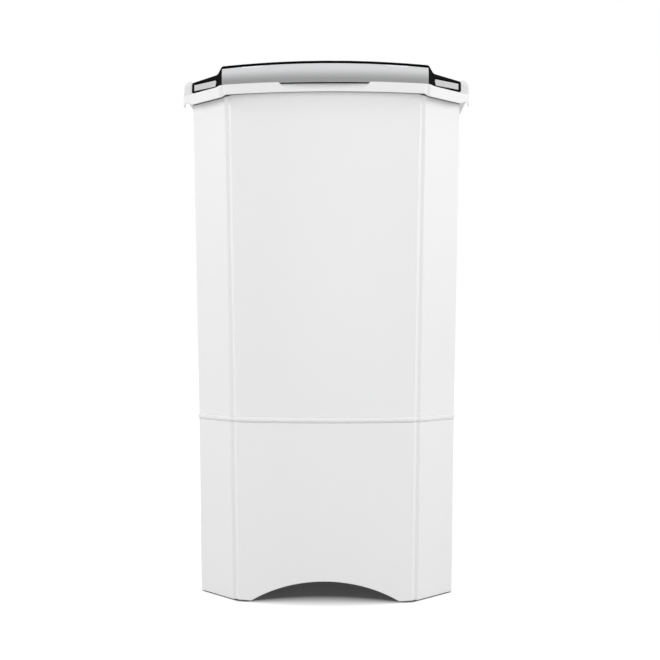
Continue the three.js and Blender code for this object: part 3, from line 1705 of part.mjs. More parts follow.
function motorBottomBell() {
  const flipped = placed(motorBell(), new THREE.Matrix4().makeRotationX(Math.PI));
  return moved(flipped, 0, motorY, statorBottom - clearance - motor.bellHeight);
}

function motorStator() {
  return moved(ring(motor.slotFrom, motor.radius, statorBottom, statorTop, sides.medium), 0, motorY, 0);
}

function motorRotor() {
  const core = ring(
    motor.shaftRadius + clearance,
    motor.slotFrom - 2 * clearance,
    statorBottom + overrun,
    statorTop - overrun,
    sides.medium,
  );
  return moved(core, 0, motorY, 0);
}

function motorShaft() {
  const outside = belt.halfWidth + 2 * clearance + belt.flange;
  const bottom = beltPlane - outside - belt.motorHubLength;
  return moved(rod(motor.shaftRadius, bottom, bellTop - overrun, sides.medium), 0, motorY, 0);
}

function motorBracket() {
  const plate = extrudedAt(
    cutCornerBox(bracket.halfWidth, bracketFront, bracketRear, bracket.corner),
    bracketUnderside,
    bracketTop,
  );
  const fold = block(
    [bracket.halfWidth - bracket.thickness, bracket.halfWidth],
    [bracketFront + bracket.corner, bracketRear - bracket.corner],
    [bracketUnderside - bracket.fold, bracketTop],
  );
  const holes = [...bossPlaces, ...motorBolts].map(([x, y]) => moved(
    rod(bracket.screwRadius + clearance, bracketUnderside - overrun, bracketTop + overrun, sides.tiny),
    x,
    y,
    0,
  ));
  return cut(joined(plate, fold, mirrored(fold)), ...holes);
}

function motorBolt(x, y) {
  const seat = bracketTop + clearance;
  const length = bracket.thickness + motor.bellHeight / 3;
  const bolt = screwUp(drive.boltRadius, drive.boltHeadRadius, drive.boltHeadHeight, 0, length);
  const down = placed(bolt, new THREE.Matrix4().makeRotationX(Math.PI));
  return moved(down, x, y, seat);
}

// Capacitor in a clamp on the side of the bracket.
const capacitor = {
  radius: 17,
  reach: 22,
  drop: 7,
  length: 68,
  edge: 2,
  terminalHalfWidth: 3,
  terminalHalfThickness: 0.6,
  terminalHeight: 8,
  terminalSpacing: 7,
  clampThickness: 2,
  clampHeight: 12,
};
const capacitorX = -bracket.halfWidth - capacitor.radius - 2 * capacitor.clampThickness - clearance;
const capacitorY = motorY - capacitor.reach;
const capacitorTop = shell.jointHeight - capacitor.drop;

function capacitorBody() {
  const bottom = capacitorTop - capacitor.length;
  const can = revolved([
    [0, bottom],
    [capacitor.radius - capacitor.edge, bottom],
    [capacitor.radius, bottom + capacitor.edge],
    [capacitor.radius, capacitorTop - capacitor.edge],
    [capacitor.radius - capacitor.edge, capacitorTop],
    [0, capacitorTop],
  ], sides.medium);
  const tabs = [-1, 1].map((side) => block(
    [-capacitor.terminalHalfWidth, capacitor.terminalHalfWidth],
    [
      side * capacitor.terminalSpacing - capacitor.terminalHalfThickness,
      side * capacitor.terminalSpacing + capacitor.terminalHalfThickness,
    ],
    [capacitorTop - capacitor.edge, capacitorTop + capacitor.terminalHeight],
  ));
  return moved(joined(can, ...tabs), capacitorX, capacitorY, 0);
}

function capacitorClamp() {
  const inner = capacitor.radius + clearance;
  const outer = inner + capacitor.clampThickness;
  const from = bracketUnderside - capacitor.clampHeight;
  const band = moved(ring(inner, outer, from, bracketUnderside, sides.medium), capacitorX, capacitorY, 0);
  const foot = block(
    [capacitorX + outer - capacitor.clampThickness / 2, -bracket.halfWidth - clearance],
    [capacitorY - capacitor.radius, capacitorY + capacitor.radius],
    [from, bracketUnderside],
  );
  const bore = moved(rod(inner + clearance, 0, bracketTop, sides.medium), capacitorX, capacitorY, 0);
  return joined(band, cut(foot, bore));
}

// Pulsator: a dished disc with a domed hub and swept vanes, held on the drive shaft by a screw.
const pulsator = {
  radius: 154,
  lift: 3.5,
  hubRadius: 16,
  hubDepth: 15,
  skin: 4.5,
  rimHeight: 12,
  dish: 4,
  domeRadius: 58,
  domeHeight: 30,
  capRadius: 17,
  screwWell: 8,
  screwHole: 4,
  screwFloor: 7,
  screwLength: 18,
  screwGap: 1.2,
  vanes: 4,
  vaneFrom: 30,
  vaneTo: 143,
  vaneSweep: 0.62,
  vaneHalfWidth: 13,
  vaneHeight: 30,
  vaneEndHeight: 7,
  vaneSteps: 6,
  vaneFall: 1.5,
  vaneTipShare: 0.62,
};
const pulsatorBottom = spigotTop + pulsator.lift / 2;
const pulsatorFace = pulsatorBottom + pulsator.rimHeight - pulsator.dish;
const pulsatorTop = pulsatorFace + pulsator.domeHeight;
const screwSeat = shaftTop + clearance + pulsator.screwFloor;

function pulsatorBody() {
  const shares = [0, 0.3, 0.6, 1];
  const dome = shares.map((share) => [
    mix(pulsator.domeRadius, pulsator.capRadius, share),
    pulsatorFace + pulsator.domeHeight * Math.sin((share * Math.PI) / 2) ** 2,
  ]);
  const underside = pulsatorFace - pulsator.skin;
  const disc = revolved([
    [drive.shaftRadius + clearance, pulsatorBottom],
    [pulsator.hubRadius, pulsatorBottom],
    [pulsator.hubRadius, pulsatorBottom + pulsator.hubDepth],
    [pulsator.domeRadius, underside],
    [pulsator.radius - 2 * pulsator.skin, underside],
    [pulsator.radius - pulsator.skin, pulsatorBottom],
    [pulsator.radius, pulsatorBottom],
    [pulsator.radius, pulsatorBottom + pulsator.rimHeight],
    [pulsator.radius - pulsator.skin, pulsatorBottom + pulsator.rimHeight],
    [pulsator.radius - 2 * pulsator.skin, pulsatorFace],
    ...dome,
    [pulsator.screwWell, pulsatorTop],
    [pulsator.screwWell, screwSeat],
    [pulsator.screwHole, screwSeat],
    [pulsator.screwHole, shaftTop + clearance],
    [drive.shaftRadius + clearance, shaftTop + clearance],
  ], sides.large);
  const vanes = repeated(vane(), pulsator.vanes, 0);
  const screwRoom = rod(pulsator.screwWell, screwSeat, pulsatorTop + pulsator.vaneHeight, sides.large);
  return cut(disc.add(joined(...vanes)), screwRoom);
}

// One vane: round-backed, swept along a curve that turns as it goes out, and sinking towards the rim.
function vane() {
  const halfShares = [[1, -0.25], [1, 0.1], [0.72, 0.62], [0.28, 0.95]];
  const crossShares = [...halfShares, ...halfShares.toReversed().map(([across, up]) => [-across, up])];
  const sections = Array.from({ length: pulsator.vaneSteps + 1 }, (_, i) => {
    const share = i / pulsator.vaneSteps;
    const radius = mix(pulsator.vaneFrom, pulsator.vaneTo, share);
    const angle = pulsator.vaneSweep * share * share;
    const height = mix(pulsator.vaneHeight, pulsator.vaneEndHeight, share ** pulsator.vaneFall);
    const half = pulsator.vaneHalfWidth * mix(1, pulsator.vaneTipShare, share);
    const centre = new THREE.Vector2(radius * Math.cos(angle), radius * Math.sin(angle));
    const side = new THREE.Vector2(-Math.sin(angle), Math.cos(angle));
    return crossShares.map(([across, up]) => [
      centre.x + side.x * across * half,
      centre.y + side.y * across * half,
      pulsatorFace + height * Math.max(up, -pulsator.skin / height / 2),
    ]);
  });
  return loft(sections, ([, y, z]) => [y, z]);
}

function pulsatorScrew() {
  const seat = screwSeat + clearance;
  const radius = drive.boltHeadRadius / 2;
  const head = pulsator.screwWell - pulsator.screwGap;
  const height = drive.boltHeadHeight;
  return revolved([
    [0, shaftTop - pulsator.screwLength + overrun],
    [radius, shaftTop - pulsator.screwLength + overrun],
    [radius, seat],
    [head, seat],
    [head, seat + height / 2],
    [head - height / 2, seat + height],
    [0, seat + height],
  ], sides.small);
}

const filterOuterX = halfWidthAt(filterBottom) - shell.tubWall - filter.wallGap - clearance;
const filterInnerX = filterOuterX - filter.depth;
const screen = {
  thickness: 1.2,
  columns: 4,
  rows: 6,
  barShare: 0.22,
  border: 8,
  inletFrom: 32,
  inletTo: 16,
};

function filterFrame() {
  const top = filterTop;
  const wall = filter.wall;
  const box = block([filterInnerX, filterOuterX], [-filter.halfWidth, filter.halfWidth], [filterBottom, top]);
  const flangeHalf = filter.halfWidth + filter.flange;
  const flanges = block(
    [filterOuterX - filter.flangeThickness, filterOuterX],
    [-flangeHalf, flangeHalf],
    [filterBottom, top],
  );
  const cavity = block(
    [filterInnerX + wall, filterOuterX - wall],
    [wall - filter.halfWidth, filter.halfWidth - wall],
    [filterBottom + wall, top - wall],
  );
  const gap = block(
    [filterInnerX - overrun, filterInnerX + 2 * wall],
    [wall + screen.border - filter.halfWidth, filter.halfWidth - wall - screen.border],
    [filterBottom + wall + screen.border, top - wall - screen.border],
  );
  const inlet = block(
    [filterOuterX - 2 * wall, filterOuterX + overrun],
    [-filter.halfWidth / 2, filter.halfWidth / 2],
    [top - screen.inletFrom, top - screen.inletTo],
  );
  return cut(joined(box, flanges), cavity, gap, inlet);
}

function filterScreen() {
  const from = filterInnerX + filter.wall + clearance;
  const half = filter.halfWidth - filter.wall - clearance;
  const bottom = filterBottom + filter.wall + clearance;
  const top = filterTop - filter.wall - clearance;
  const sheet = block([from, from + screen.thickness], [-half, half], [bottom, top]);
  const cellY = (2 * (half - screen.border)) / screen.columns;
  const cellZ = (top - bottom - 2 * screen.border) / screen.rows;
  const gaps = [];
  for (let column = 0; column < screen.columns; column += 1) {
    for (let row = 0; row < screen.rows; row += 1) {
      const y = screen.border - half + cellY * column;
      const z = bottom + screen.border + cellZ * row;
      gaps.push(block(
        [from - overrun, from + screen.thickness + overrun],
        [y + (cellY * screen.barShare) / 2, y + cellY * (1 - screen.barShare / 2)],
        [z + (cellZ * screen.barShare) / 2, z + cellZ * (1 - screen.barShare / 2)],
      ));
    }
  }
  return cut(sheet, ...gaps);
}

piece('tub', tubPiece(), 'whitePlastic');
piece('base_skirt', baseSkirt(), 'whitePlastic');
footPlaces.forEach(([x, y], i) => piece(`foot_${i + 1}`, moved(foot(), x, y, 0), 'rubber'));
piece('rear_cover', rearCover(), 'whitePlastic');
coverScrews.forEach(([x, z], i) => piece(`rear_cover_screw_${i + 1}`, coverScrew(x, z), 'steel'));
piece('cord_grommet', cordGrommet(), 'rubber');
piece('drain_elbow', drainElbow(), 'darkPlastic');
piece('drain_grille', drainGrille(), 'blueGreyPlastic');
piece('rear_duct', rearDuct(), 'whitePlastic');
piece('top_frame', topFrame(), 'whitePlastic');
piece('lid_frame', lidFrame(), 'blackPlastic');
piece('lid_window', lidWindow(), 'smokedPlastic');
piece('lid_front_trim', frontTrim(), 'silverPlastic');
piece('lid_corner_trim_left', insertShape(-1, 0, clearance), 'greyPlastic');
piece('lid_corner_trim_right', insertShape(1, 0, clearance), 'greyPlastic');
piece('hinge_pin_left', hingePin(-1), 'steel');
piece('hinge_pin_right', hingePin(1), 'steel');
piece('console_housing', consoleHousing(), 'whitePlastic');
piece('console_fascia', fascia(), 'greyPlastic');
piece('timer_body', timerBody(), 'darkPlastic');
piece('timer_shaft', timerShaft(), 'steel');
piece('timer_knob', timerKnob(), 'greyPlastic');
piece('wiring_harness', wiringHarness(), 'darkPlastic');
piece('bearing_housing', bearingHousing(), 'darkPlastic');
boltPlaces.forEach(([x, y], i) => piece(`housing_bolt_${i + 1}`, moved(
  screwUp(
    drive.boltRadius,
    drive.boltHeadRadius,
    drive.boltHeadHeight,
    flangeBottom - clearance,
    wellUnderside + drive.boltReach,
  ),
  x,
  y,
  0,
), 'steel'));
piece('lower_bush', bush(tubeBottom, tubeBottom + drive.bushLength - clearance), 'bronze');
piece('upper_bush', bush(
  spigotTop - drive.sealThickness - drive.bushLength + clearance,
  spigotTop - drive.sealThickness - clearance,
), 'bronze');
piece('shaft_seal', ring(
  clearOf(drive.shaftRadius + drive.running, sides.medium),
  drive.tubeBore - clearance,
  spigotTop - drive.sealThickness,
  spigotTop,
  sides.large,
), 'rubber');
piece('drive_shaft', driveShaft(), 'steel');
piece('driven_pulley', drivenPulley(), 'aluminium');
piece('pulley_nut', pulleyNut(), 'steel');
piece('drive_belt', driveBelt(), 'rubber');
piece('drive_pulley', drivePulley(), 'aluminium');
piece('motor_shaft', motorShaft(), 'steel');
piece('motor_rotor', motorRotor(), 'steel');
piece('motor_stator', motorStator(), 'steel');
piece('motor_top_bell', motorTopBell(), 'aluminium');
piece('motor_bottom_bell', motorBottomBell(), 'aluminium');
piece('motor_bracket', motorBracket(), 'paintedSteel');
motorBolts.forEach(([x, y], i) => piece(`motor_bolt_${i + 1}`, motorBolt(x, y), 'steel'));
bossPlaces.forEach(([x, y], i) => piece(`bracket_screw_${i + 1}`, moved(
  screwUp(
    bracket.screwRadius,
    bracket.headRadius,
    bracket.headHeight,
    bracketUnderside - clearance,
    bracketTop + bracket.screwLength - overrun,
  ),
  x,
  y,
  0,
), 'steel'));
piece('capacitor', capacitorBody(), 'aluminium');
piece('capacitor_clamp', capacitorClamp(), 'paintedSteel');
piece('pulsator', pulsatorBody(), 'blueGreyPlastic');
piece('pulsator_screw', pulsatorScrew(), 'steel');
piece('lint_filter_frame', filterFrame(), 'blueGreyPlastic');
piece('lint_filter_screen', filterScreen(), 'whitePlastic');

export default machine;
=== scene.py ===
import json
import math
import bmesh
import bpy
from mathutils import Matrix, Vector

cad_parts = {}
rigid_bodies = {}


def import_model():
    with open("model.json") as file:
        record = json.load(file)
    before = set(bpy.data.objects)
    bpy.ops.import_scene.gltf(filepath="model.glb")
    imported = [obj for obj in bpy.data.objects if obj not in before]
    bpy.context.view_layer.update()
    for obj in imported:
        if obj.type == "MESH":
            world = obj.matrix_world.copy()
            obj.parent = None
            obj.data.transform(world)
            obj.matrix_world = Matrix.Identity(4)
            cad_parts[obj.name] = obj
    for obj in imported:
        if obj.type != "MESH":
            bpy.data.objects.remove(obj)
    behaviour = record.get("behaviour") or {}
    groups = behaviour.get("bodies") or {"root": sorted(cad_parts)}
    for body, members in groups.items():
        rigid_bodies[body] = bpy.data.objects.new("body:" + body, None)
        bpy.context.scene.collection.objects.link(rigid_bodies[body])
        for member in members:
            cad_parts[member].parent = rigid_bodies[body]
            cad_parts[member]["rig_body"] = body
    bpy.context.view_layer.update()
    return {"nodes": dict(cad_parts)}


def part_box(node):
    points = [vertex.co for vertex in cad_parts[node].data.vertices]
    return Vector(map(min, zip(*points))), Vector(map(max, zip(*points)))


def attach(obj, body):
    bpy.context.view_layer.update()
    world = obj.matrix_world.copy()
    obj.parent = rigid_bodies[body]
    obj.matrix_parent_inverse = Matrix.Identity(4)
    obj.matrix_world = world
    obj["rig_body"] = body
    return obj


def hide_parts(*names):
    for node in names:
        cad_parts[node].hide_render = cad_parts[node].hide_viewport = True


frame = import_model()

nodes = frame["nodes"]
mm = 0.001
mergeDistance = 1e-6
flatAngle = 0.5
normalWeight = 60


# Selecting and editing, as it is done by hand.
def deselectAll():
    if bpy.context.object and bpy.context.object.mode != "OBJECT":
        bpy.ops.object.mode_set(mode="OBJECT")
    bpy.ops.object.select_all(action="DESELECT")


def activate(piece):
    deselectAll()
    piece.select_set(True)
    bpy.context.view_layer.objects.active = piece


def openEdit(piece):
    activate(piece)
    bpy.ops.object.mode_set(mode="EDIT")
    bpy.ops.mesh.select_mode(type="VERT")
    bpy.ops.mesh.select_all(action="DESELECT")


def closeEdit():
    bpy.ops.object.mode_set(mode="OBJECT")


# Selects what passes the test, a vertex by its place or an edge by its two ends, and counts it.
def pick(test, kind="VERT"):
    bpy.ops.mesh.select_mode(type=kind)
    bpy.ops.mesh.select_all(action="DESELECT")
    mesh = bmesh.from_edit_mesh(bpy.context.object.data)
    if kind == "VERT":
        wanted = [vertex for vertex in mesh.verts if test(vertex.co)]
    else:
        wanted = [edge for edge in mesh.edges if test(edge.verts[0].co, edge.verts[1].co)]
    for part in wanted:
        part.select_set(True)
    mesh.select_flush_mode()
    bmesh.update_edit_mesh(bpy.context.object.data)
    return len(wanted)


def shift(z):
    bpy.ops.transform.translate(value=(0, 0, z))


def scaleAbout(centre, x=1, y=1, z=1):
    bpy.ops.transform.resize(value=(x, y, z), center_override=centre)


def sliceLevel(height):
    bpy.ops.mesh.select_all(action="SELECT")
    bpy.ops.mesh.bisect(plane_co=(0, 0, height), plane_no=(0, 0, 1))


def addBox(name, low, high):
    deselectAll()
    centre = [(a + b) / 2 for a, b in zip(low, high)]
    bpy.ops.mesh.primitive_cube_add(size=1, location=centre)
    piece = bpy.context.object
    piece.name = name
    piece.scale = [b - a for a, b in zip(low, high)]
    bpy.ops.object.transform_apply(location=True, rotation=True, scale=True)
    return piece


# A turned part: a circle is extruded and scaled from ring to ring, each given as radius and height.
def turnPart(name, rings, sides):
    deselectAll()
    radius, height = rings[0]
    bpy.ops.mesh.primitive_circle_add(vertices=sides, radius=radius, location=(0, 0, height))
    piece = bpy.context.object
    piece.name = name
    bpy.ops.object.transform_apply(location=True, rotation=True, scale=True)
    bpy.ops.object.mode_set(mode="EDIT")
    bpy.ops.mesh.select_mode(type="EDGE")
    bpy.ops.mesh.select_all(action="SELECT")
    for nextRadius, nextHeight in rings[1:]:
        bpy.ops.mesh.extrude_region_move(TRANSFORM_OT_translate={"value": (0, 0, nextHeight - height)})
        share = nextRadius / radius
        scaleAbout((0, 0, nextHeight), x=share, y=share)
        radius, height = nextRadius, nextHeight
    bpy.ops.mesh.select_all(action="SELECT")
    bpy.ops.mesh.fill_holes(sides=0)
    tidyMesh()
    closeEdit()
    return piece


# Merges doubles and turns every face outwards.
def tidyMesh():
    bpy.ops.mesh.select_all(action="SELECT")
    bpy.ops.mesh.remove_doubles(threshold=mergeDistance)
    bpy.ops.mesh.normals_make_consistent(inside=False)


def placePart(piece, matrix):
    activate(piece)
    piece.matrix_world = matrix
    bpy.ops.object.transform_apply(location=True, rotation=True, scale=True)
    return piece


def applyModifier(piece, kind, **settings):
    activate(piece)
    modifier = piece.modifiers.new(kind.lower(), kind)
    for key, value in settings.items():
        setattr(modifier, key, value)
    bpy.ops.object.modifier_apply(modifier=modifier.name)


def roundEdges(piece, width, steps=2, sharp=30):
    applyModifier(
        piece, "BEVEL", width=width, segments=steps, limit_method="ANGLE",
        angle_limit=math.radians(sharp), use_clamp_overlap=True, miter_outer="MITER_ARC",
    )


def smooth(piece, angle=40, weighted=True):
    activate(piece)
    bpy.ops.object.shade_smooth_by_angle(angle=math.radians(angle))
    if weighted:
        applyModifier(piece, "WEIGHTED_NORMAL", keep_sharp=True, weight=normalWeight)


# A copy of a CAD node: merged, its flat faces joined, mended where asked, its edges rounded.
def refine(node, name, width, steps, mend, joinFlats):
    piece = bpy.data.objects.new(name, nodes[node].data.copy())
    bpy.context.scene.collection.objects.link(piece)
    openEdit(piece)
    bpy.ops.mesh.select_all(action="SELECT")
    bpy.ops.mesh.remove_doubles(threshold=2 * mergeDistance)
    if joinFlats:
        bpy.ops.mesh.dissolve_limited(angle_limit=math.radians(flatAngle))
    if mend:
        mend()
    closeEdit()
    if width:
        roundEdges(piece, width, steps)
    smooth(piece)
    return piece


# Gives a piece its finish and body, and hides the CAD nodes it stands for.
def dress(piece, finish, body, replaced=()):
    piece.data.materials.clear()
    piece.data.materials.append(finishes[finish])
    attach(piece, body)
    if replaced:
        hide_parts(*replaced)
    return piece


# Camera, light and the white surroundings. Lamps: place, size and power.
stage = {
    "lens": 57.16,
    "sensor": 36,
    "camera": (0.050, -1.990, 0.464),
    "aim": (0.0034, 0, 0.464),
    "lampAim": (0, 0, 0.5),
    "lamps": {
        "frontLamp": ((0.2, -3.4, 0.62), 2.2, 33.8),
        "keyLamp": ((0.5, -2.6, 3.2), 2.6, 13.0),
        "rightLamp": ((3.0, -0.9, 1.8), 2.2, 48.0),
        "leftLamp": ((-3.0, -0.9, 1.8), 2.2, 49.5),
    },
    "skyLight": 0.50,
}


# An object of the stage, in place and turned to what it looks at.
def pointAt(name, data, place, target):
    holder = bpy.data.objects.new(name, data)
    bpy.context.scene.collection.objects.link(holder)
    holder.location = place
    holder.rotation_euler = (Vector(target) - Vector(place)).to_track_quat("-Z", "Y").to_euler()
    return holder


def makeStage():
    deselectAll()
    camera = bpy.data.cameras.new("studioCamera")
    camera.lens = stage["lens"]
    camera.sensor_width = stage["sensor"]
    bpy.context.scene.camera = pointAt("studioCamera", camera, stage["camera"], stage["aim"])
    for name, (place, size, power) in stage["lamps"].items():
        light = bpy.data.lights.new(name, "AREA")
        light.size = size
        light.energy = power
        pointAt(name, light, place, stage["lampAim"])

    bpy.ops.mesh.primitive_plane_add(size=floorLook["size"], location=(0, 0, 0))
    floor = bpy.context.object
    floor.name = "studioFloor"
    floor.data.materials.append(floorMaterial())

    world = bpy.data.worlds.new("studioWorld")
    world.use_nodes = True
    bpy.context.scene.world = world
    tree = world.node_tree
    tree.nodes.clear()
    sky = skyNode(tree, stage["skyLight"])
    white = skyNode(tree, 1.0)
    out = tree.nodes.new("ShaderNodeOutputWorld")
    tree.links.new(mixShaders(tree, showsBackground(tree), sky, white), out.inputs["Surface"])
    bpy.context.scene.view_settings.view_transform = "Standard"


def skyNode(tree, strength):
    sky = tree.nodes.new("ShaderNodeBackground")
    sky.inputs["Color"].default_value = (1, 1, 1, 1)
    sky.inputs["Strength"].default_value = strength
    return sky.outputs[0]


def mixShaders(tree, share, first, second):
    mix = tree.nodes.new("ShaderNodeMixShader")
    for socket, value in zip(mix.inputs, (share, first, second)):
        tree.links.new(value, socket)
    return mix.outputs[0]


def mathNode(tree, operation, first, second):
    node = tree.nodes.new("ShaderNodeMath")
    node.operation = operation
    for socket, value in zip(node.inputs, (first, second)):
        if isinstance(value, (int, float)):
            socket.default_value = value
        else:
            tree.links.new(value, socket)
    return node.outputs[0]


# True for what the camera sees, straight, in gloss or through glass.
def showsBackground(tree):
    seen = tree.nodes.new("ShaderNodeLightPath").outputs
    direct = mathNode(tree, "MAXIMUM", seen["Is Camera Ray"], seen["Is Glossy Ray"])
    return mathNode(tree, "MAXIMUM", direct, seen["Is Transmission Ray"])


# The floor keeps the real shadow in its diffuse part. It is plain white further out, and its glow is taken
# away under the machine's outline, a painted shadow, whose outline is drawn here from the base: two sides, a
# rear, cut corners and a bowed front with its arch.
floorLook = {
    "size": 60.0,
    "bounce": 0.50,
    "shade": 0.22,
    "lift": 0.85,
    "dark": 0.045,
    "halfWidth": 0.221,
    "halfDepth": 0.222,
    "corner": 0.352,
    "bow": 0.87,
    "archHalfWidth": 0.135,
    "edgeInside": -0.004,
    "edgeOutside": 0.002,
    "frontEdge": (-0.066, -0.004),  # behind the arch's middle, beside the arch
    "frontFade": (0.082, 0.006),
    "plainFrom": 0.45,
    "plainTo": 1.3,
}


# How clear the floor is of the painted shadow under the machine: 0 under it, 1 outside, with a soft painted
# fade in front of the arch.
def clearOfBase(tree, x, y):
    wide, deep = mathNode(tree, "ABSOLUTE", x, 0), mathNode(tree, "ABSOLUTE", y, 0)
    side = mathNode(tree, "SUBTRACT", wide, floorLook["halfWidth"])
    rear = mathNode(tree, "SUBTRACT", y, floorLook["halfDepth"])
    corner = mathNode(tree, "SUBTRACT", mathNode(tree, "ADD", wide, deep), floorLook["corner"])
    outside = mathNode(tree, "MAXIMUM", mathNode(tree, "MAXIMUM", side, rear), corner)
    bow = mathNode(tree, "MULTIPLY", mathNode(tree, "MULTIPLY", x, x), floorLook["bow"])
    front = mathNode(tree, "SUBTRACT", mathNode(tree, "SUBTRACT", bow, y), floorLook["halfDepth"])
    archShare = mathNode(tree, "MINIMUM", mathNode(tree, "DIVIDE", wide, floorLook["archHalfWidth"]), 1)
    aside = mathNode(tree, "MULTIPLY", archShare, archShare)
    edge = rangeNode(tree, aside, 0, 1, *floorLook["frontEdge"])
    fade = rangeNode(tree, aside, 0, 1, *floorLook["frontFade"])
    forward = mathNode(tree, "DIVIDE", mathNode(tree, "SUBTRACT", front, edge), fade)
    beyond = rangeNode(tree, outside, floorLook["edgeInside"], floorLook["edgeOutside"], 0, 1)
    return mathNode(tree, "MAXIMUM", beyond, rangeNode(tree, forward, 0, 1, 0, 1))


def floorMaterial():
    material = bpy.data.materials.new("studioFloor")
    material.use_nodes = True
    tree = material.node_tree
    tree.nodes.clear()
    place = tree.nodes.new("ShaderNodeTexCoord").outputs["Object"]
    parts = tree.nodes.new("ShaderNodeSeparateXYZ")
    tree.links.new(place, parts.inputs[0])
    reach = tree.nodes.new("ShaderNodeVectorMath")
    reach.operation = "LENGTH"
    tree.links.new(place, reach.inputs[0])
    far = rangeNode(tree, reach.outputs["Value"], floorLook["plainFrom"], floorLook["plainTo"], 0, 1)
    clear = clearOfBase(tree, parts.outputs["X"], parts.outputs["Y"])

    bounce = tree.nodes.new("ShaderNodeBsdfDiffuse")
    bounce.inputs["Color"].default_value = (*[floorLook["bounce"]] * 3, 1)
    shown = tree.nodes.new("ShaderNodeBsdfDiffuse")
    shown.inputs["Color"].default_value = (*[floorLook["shade"]] * 3, 1)
    lift = tree.nodes.new("ShaderNodeEmission")
    lift.inputs["Color"].default_value = (1, 1, 1, 1)
    # the floor's glow, dimmed to a painted shadow under the machine
    glow = mathNode(tree, "MULTIPLY", clear, rangeNode(tree, far, 0, 1, floorLook["lift"], 1))
    tree.links.new(mathNode(tree, "MAXIMUM", glow, floorLook["dark"]), lift.inputs["Strength"])
    both = tree.nodes.new("ShaderNodeAddShader")
    tree.links.new(shown.outputs[0], both.inputs[0])
    tree.links.new(lift.outputs[0], both.inputs[1])
    out = tree.nodes.new("ShaderNodeOutputMaterial")
    mixed = mixShaders(tree, showsBackground(tree), bounce.outputs[0], both.outputs[0])
    tree.links.new(mixed, out.inputs["Surface"])
    return material


# Materials. Colours are linear. Grain and smears are noise on Object coordinates, sizes in metres.
plainLook = {
    "metallic": 0,
    "ior": 1.49,
    "specular": 0.5,
    "coat": 0,
    "coatRoughness": 0.08,
    "transmission": 0,
    "mottle": 0.015,
    "mottleSize": 0.12,
    "mottleDetail": 3,
    "roughness": 0.4,
    "roughnessSpread": 0.05,
    "smearSize": 0.035,
    "smearDetail": 4,
    "smearRange": (0.3, 0.7),
    "stretch": (1, 1, 1),
    "grainSize": 0.0012,
    "grainDetail": 2,
    "grainStrength": 0.05,
    "grainDepth": 0.0002,
    "waveDepth": 0.0004,
}


def makeFinish(name, changes):
    look = {**plainLook, **changes}
    material = bpy.data.materials.new(name)
    material.use_nodes = True
    tree = material.node_tree
    shader = tree.nodes["Principled BSDF"]
    for socket, key in (
        ("Metallic", "metallic"), ("IOR", "ior"), ("Specular IOR Level", "specular"), ("Coat Weight", "coat"),
        ("Coat Roughness", "coatRoughness"), ("Transmission Weight", "transmission"),
    ):
        shader.inputs[socket].default_value = look[key]
    place = tree.nodes.new("ShaderNodeTexCoord").outputs["Object"]
    tree.links.new(mottledColour(tree, place, look), shader.inputs["Base Color"])
    smear = noiseNode(tree, place, look["smearSize"], look["smearDetail"])
    low, high = (look["roughness"] + side * look["roughnessSpread"] for side in (-1, 1))
    tree.links.new(rangeNode(tree, smear, *look["smearRange"], low, high), shader.inputs["Roughness"])

    mapping = tree.nodes.new("ShaderNodeMapping")
    mapping.inputs["Scale"].default_value = look["stretch"]
    tree.links.new(place, mapping.inputs["Vector"])
    grain = noiseNode(tree, mapping.outputs["Vector"], look["grainSize"], look["grainDetail"])
    bump = bumpNode(tree, grain, look["grainStrength"], look["grainDepth"])
    if "wave" in look:
        wave = tree.nodes.new("ShaderNodeTexWave")
        wave.bands_direction = look["waveAxis"]
        wave.inputs["Scale"].default_value = look["wave"]
        wave.inputs["Distortion"].default_value = 0
        tree.links.new(place, wave.inputs["Vector"])
        ridge = bumpNode(tree, wave.outputs["Fac"], look["waveStrength"], look["waveDepth"])
        tree.links.new(bump, ridge.node.inputs["Normal"])
        bump = ridge
    tree.links.new(bump, shader.inputs["Normal"])
    return material


# The colour, a little darker and lighter in patches, and scaled by height where the look says so: painted
# light and shade.
def mottledColour(tree, place, look):
    tint = tree.nodes.new("ShaderNodeMix")
    tint.data_type = "RGBA"
    patches = noiseNode(tree, place, look["mottleSize"], look["mottleDetail"])
    tree.links.new(patches, tint.inputs["Factor"])
    tint.inputs["A"].default_value = (*[c * (1 - look["mottle"]) for c in look["color"]], 1)
    tint.inputs["B"].default_value = (*[min(1, c * (1 + look["mottle"])) for c in look["color"]], 1)
    colour = tint.outputs["Result"]
    if "paintedLightByHeight" in look:
        parts = tree.nodes.new("ShaderNodeSeparateXYZ")
        tree.links.new(place, parts.inputs[0])
        height = parts.outputs["Z"]
        if "sideDrop" in look:
            wide = mathNode(tree, "ABSOLUTE", parts.outputs["X"], 0)
            height = mathNode(tree, "ADD", height, rangeNode(tree, wide, *look["sideDrop"]))
        for low, high, bottom, top in look["paintedLightByHeight"]:
            share = rangeNode(tree, height, bottom, top, 0, 1)
            share.node.interpolation_type = "SMOOTHSTEP"
            scale = tree.nodes.new("ShaderNodeVectorMath")
            scale.operation = "SCALE"
            tree.links.new(colour, scale.inputs[0])
            tree.links.new(rangeNode(tree, share, 0, 1, low, high), scale.inputs["Scale"])
            colour = scale.outputs[0]
    return colour


def bumpNode(tree, height, strength, depth):
    bump = tree.nodes.new("ShaderNodeBump")
    bump.inputs["Strength"].default_value = strength
    bump.inputs["Distance"].default_value = depth
    tree.links.new(height, bump.inputs["Height"])
    return bump.outputs["Normal"]


def noiseNode(tree, vector, size, detail):
    noise = tree.nodes.new("ShaderNodeTexNoise")
    noise.inputs["Scale"].default_value = 1 / size
    noise.inputs["Detail"].default_value = detail
    tree.links.new(vector, noise.inputs["Vector"])
    return noise.outputs["Fac"]


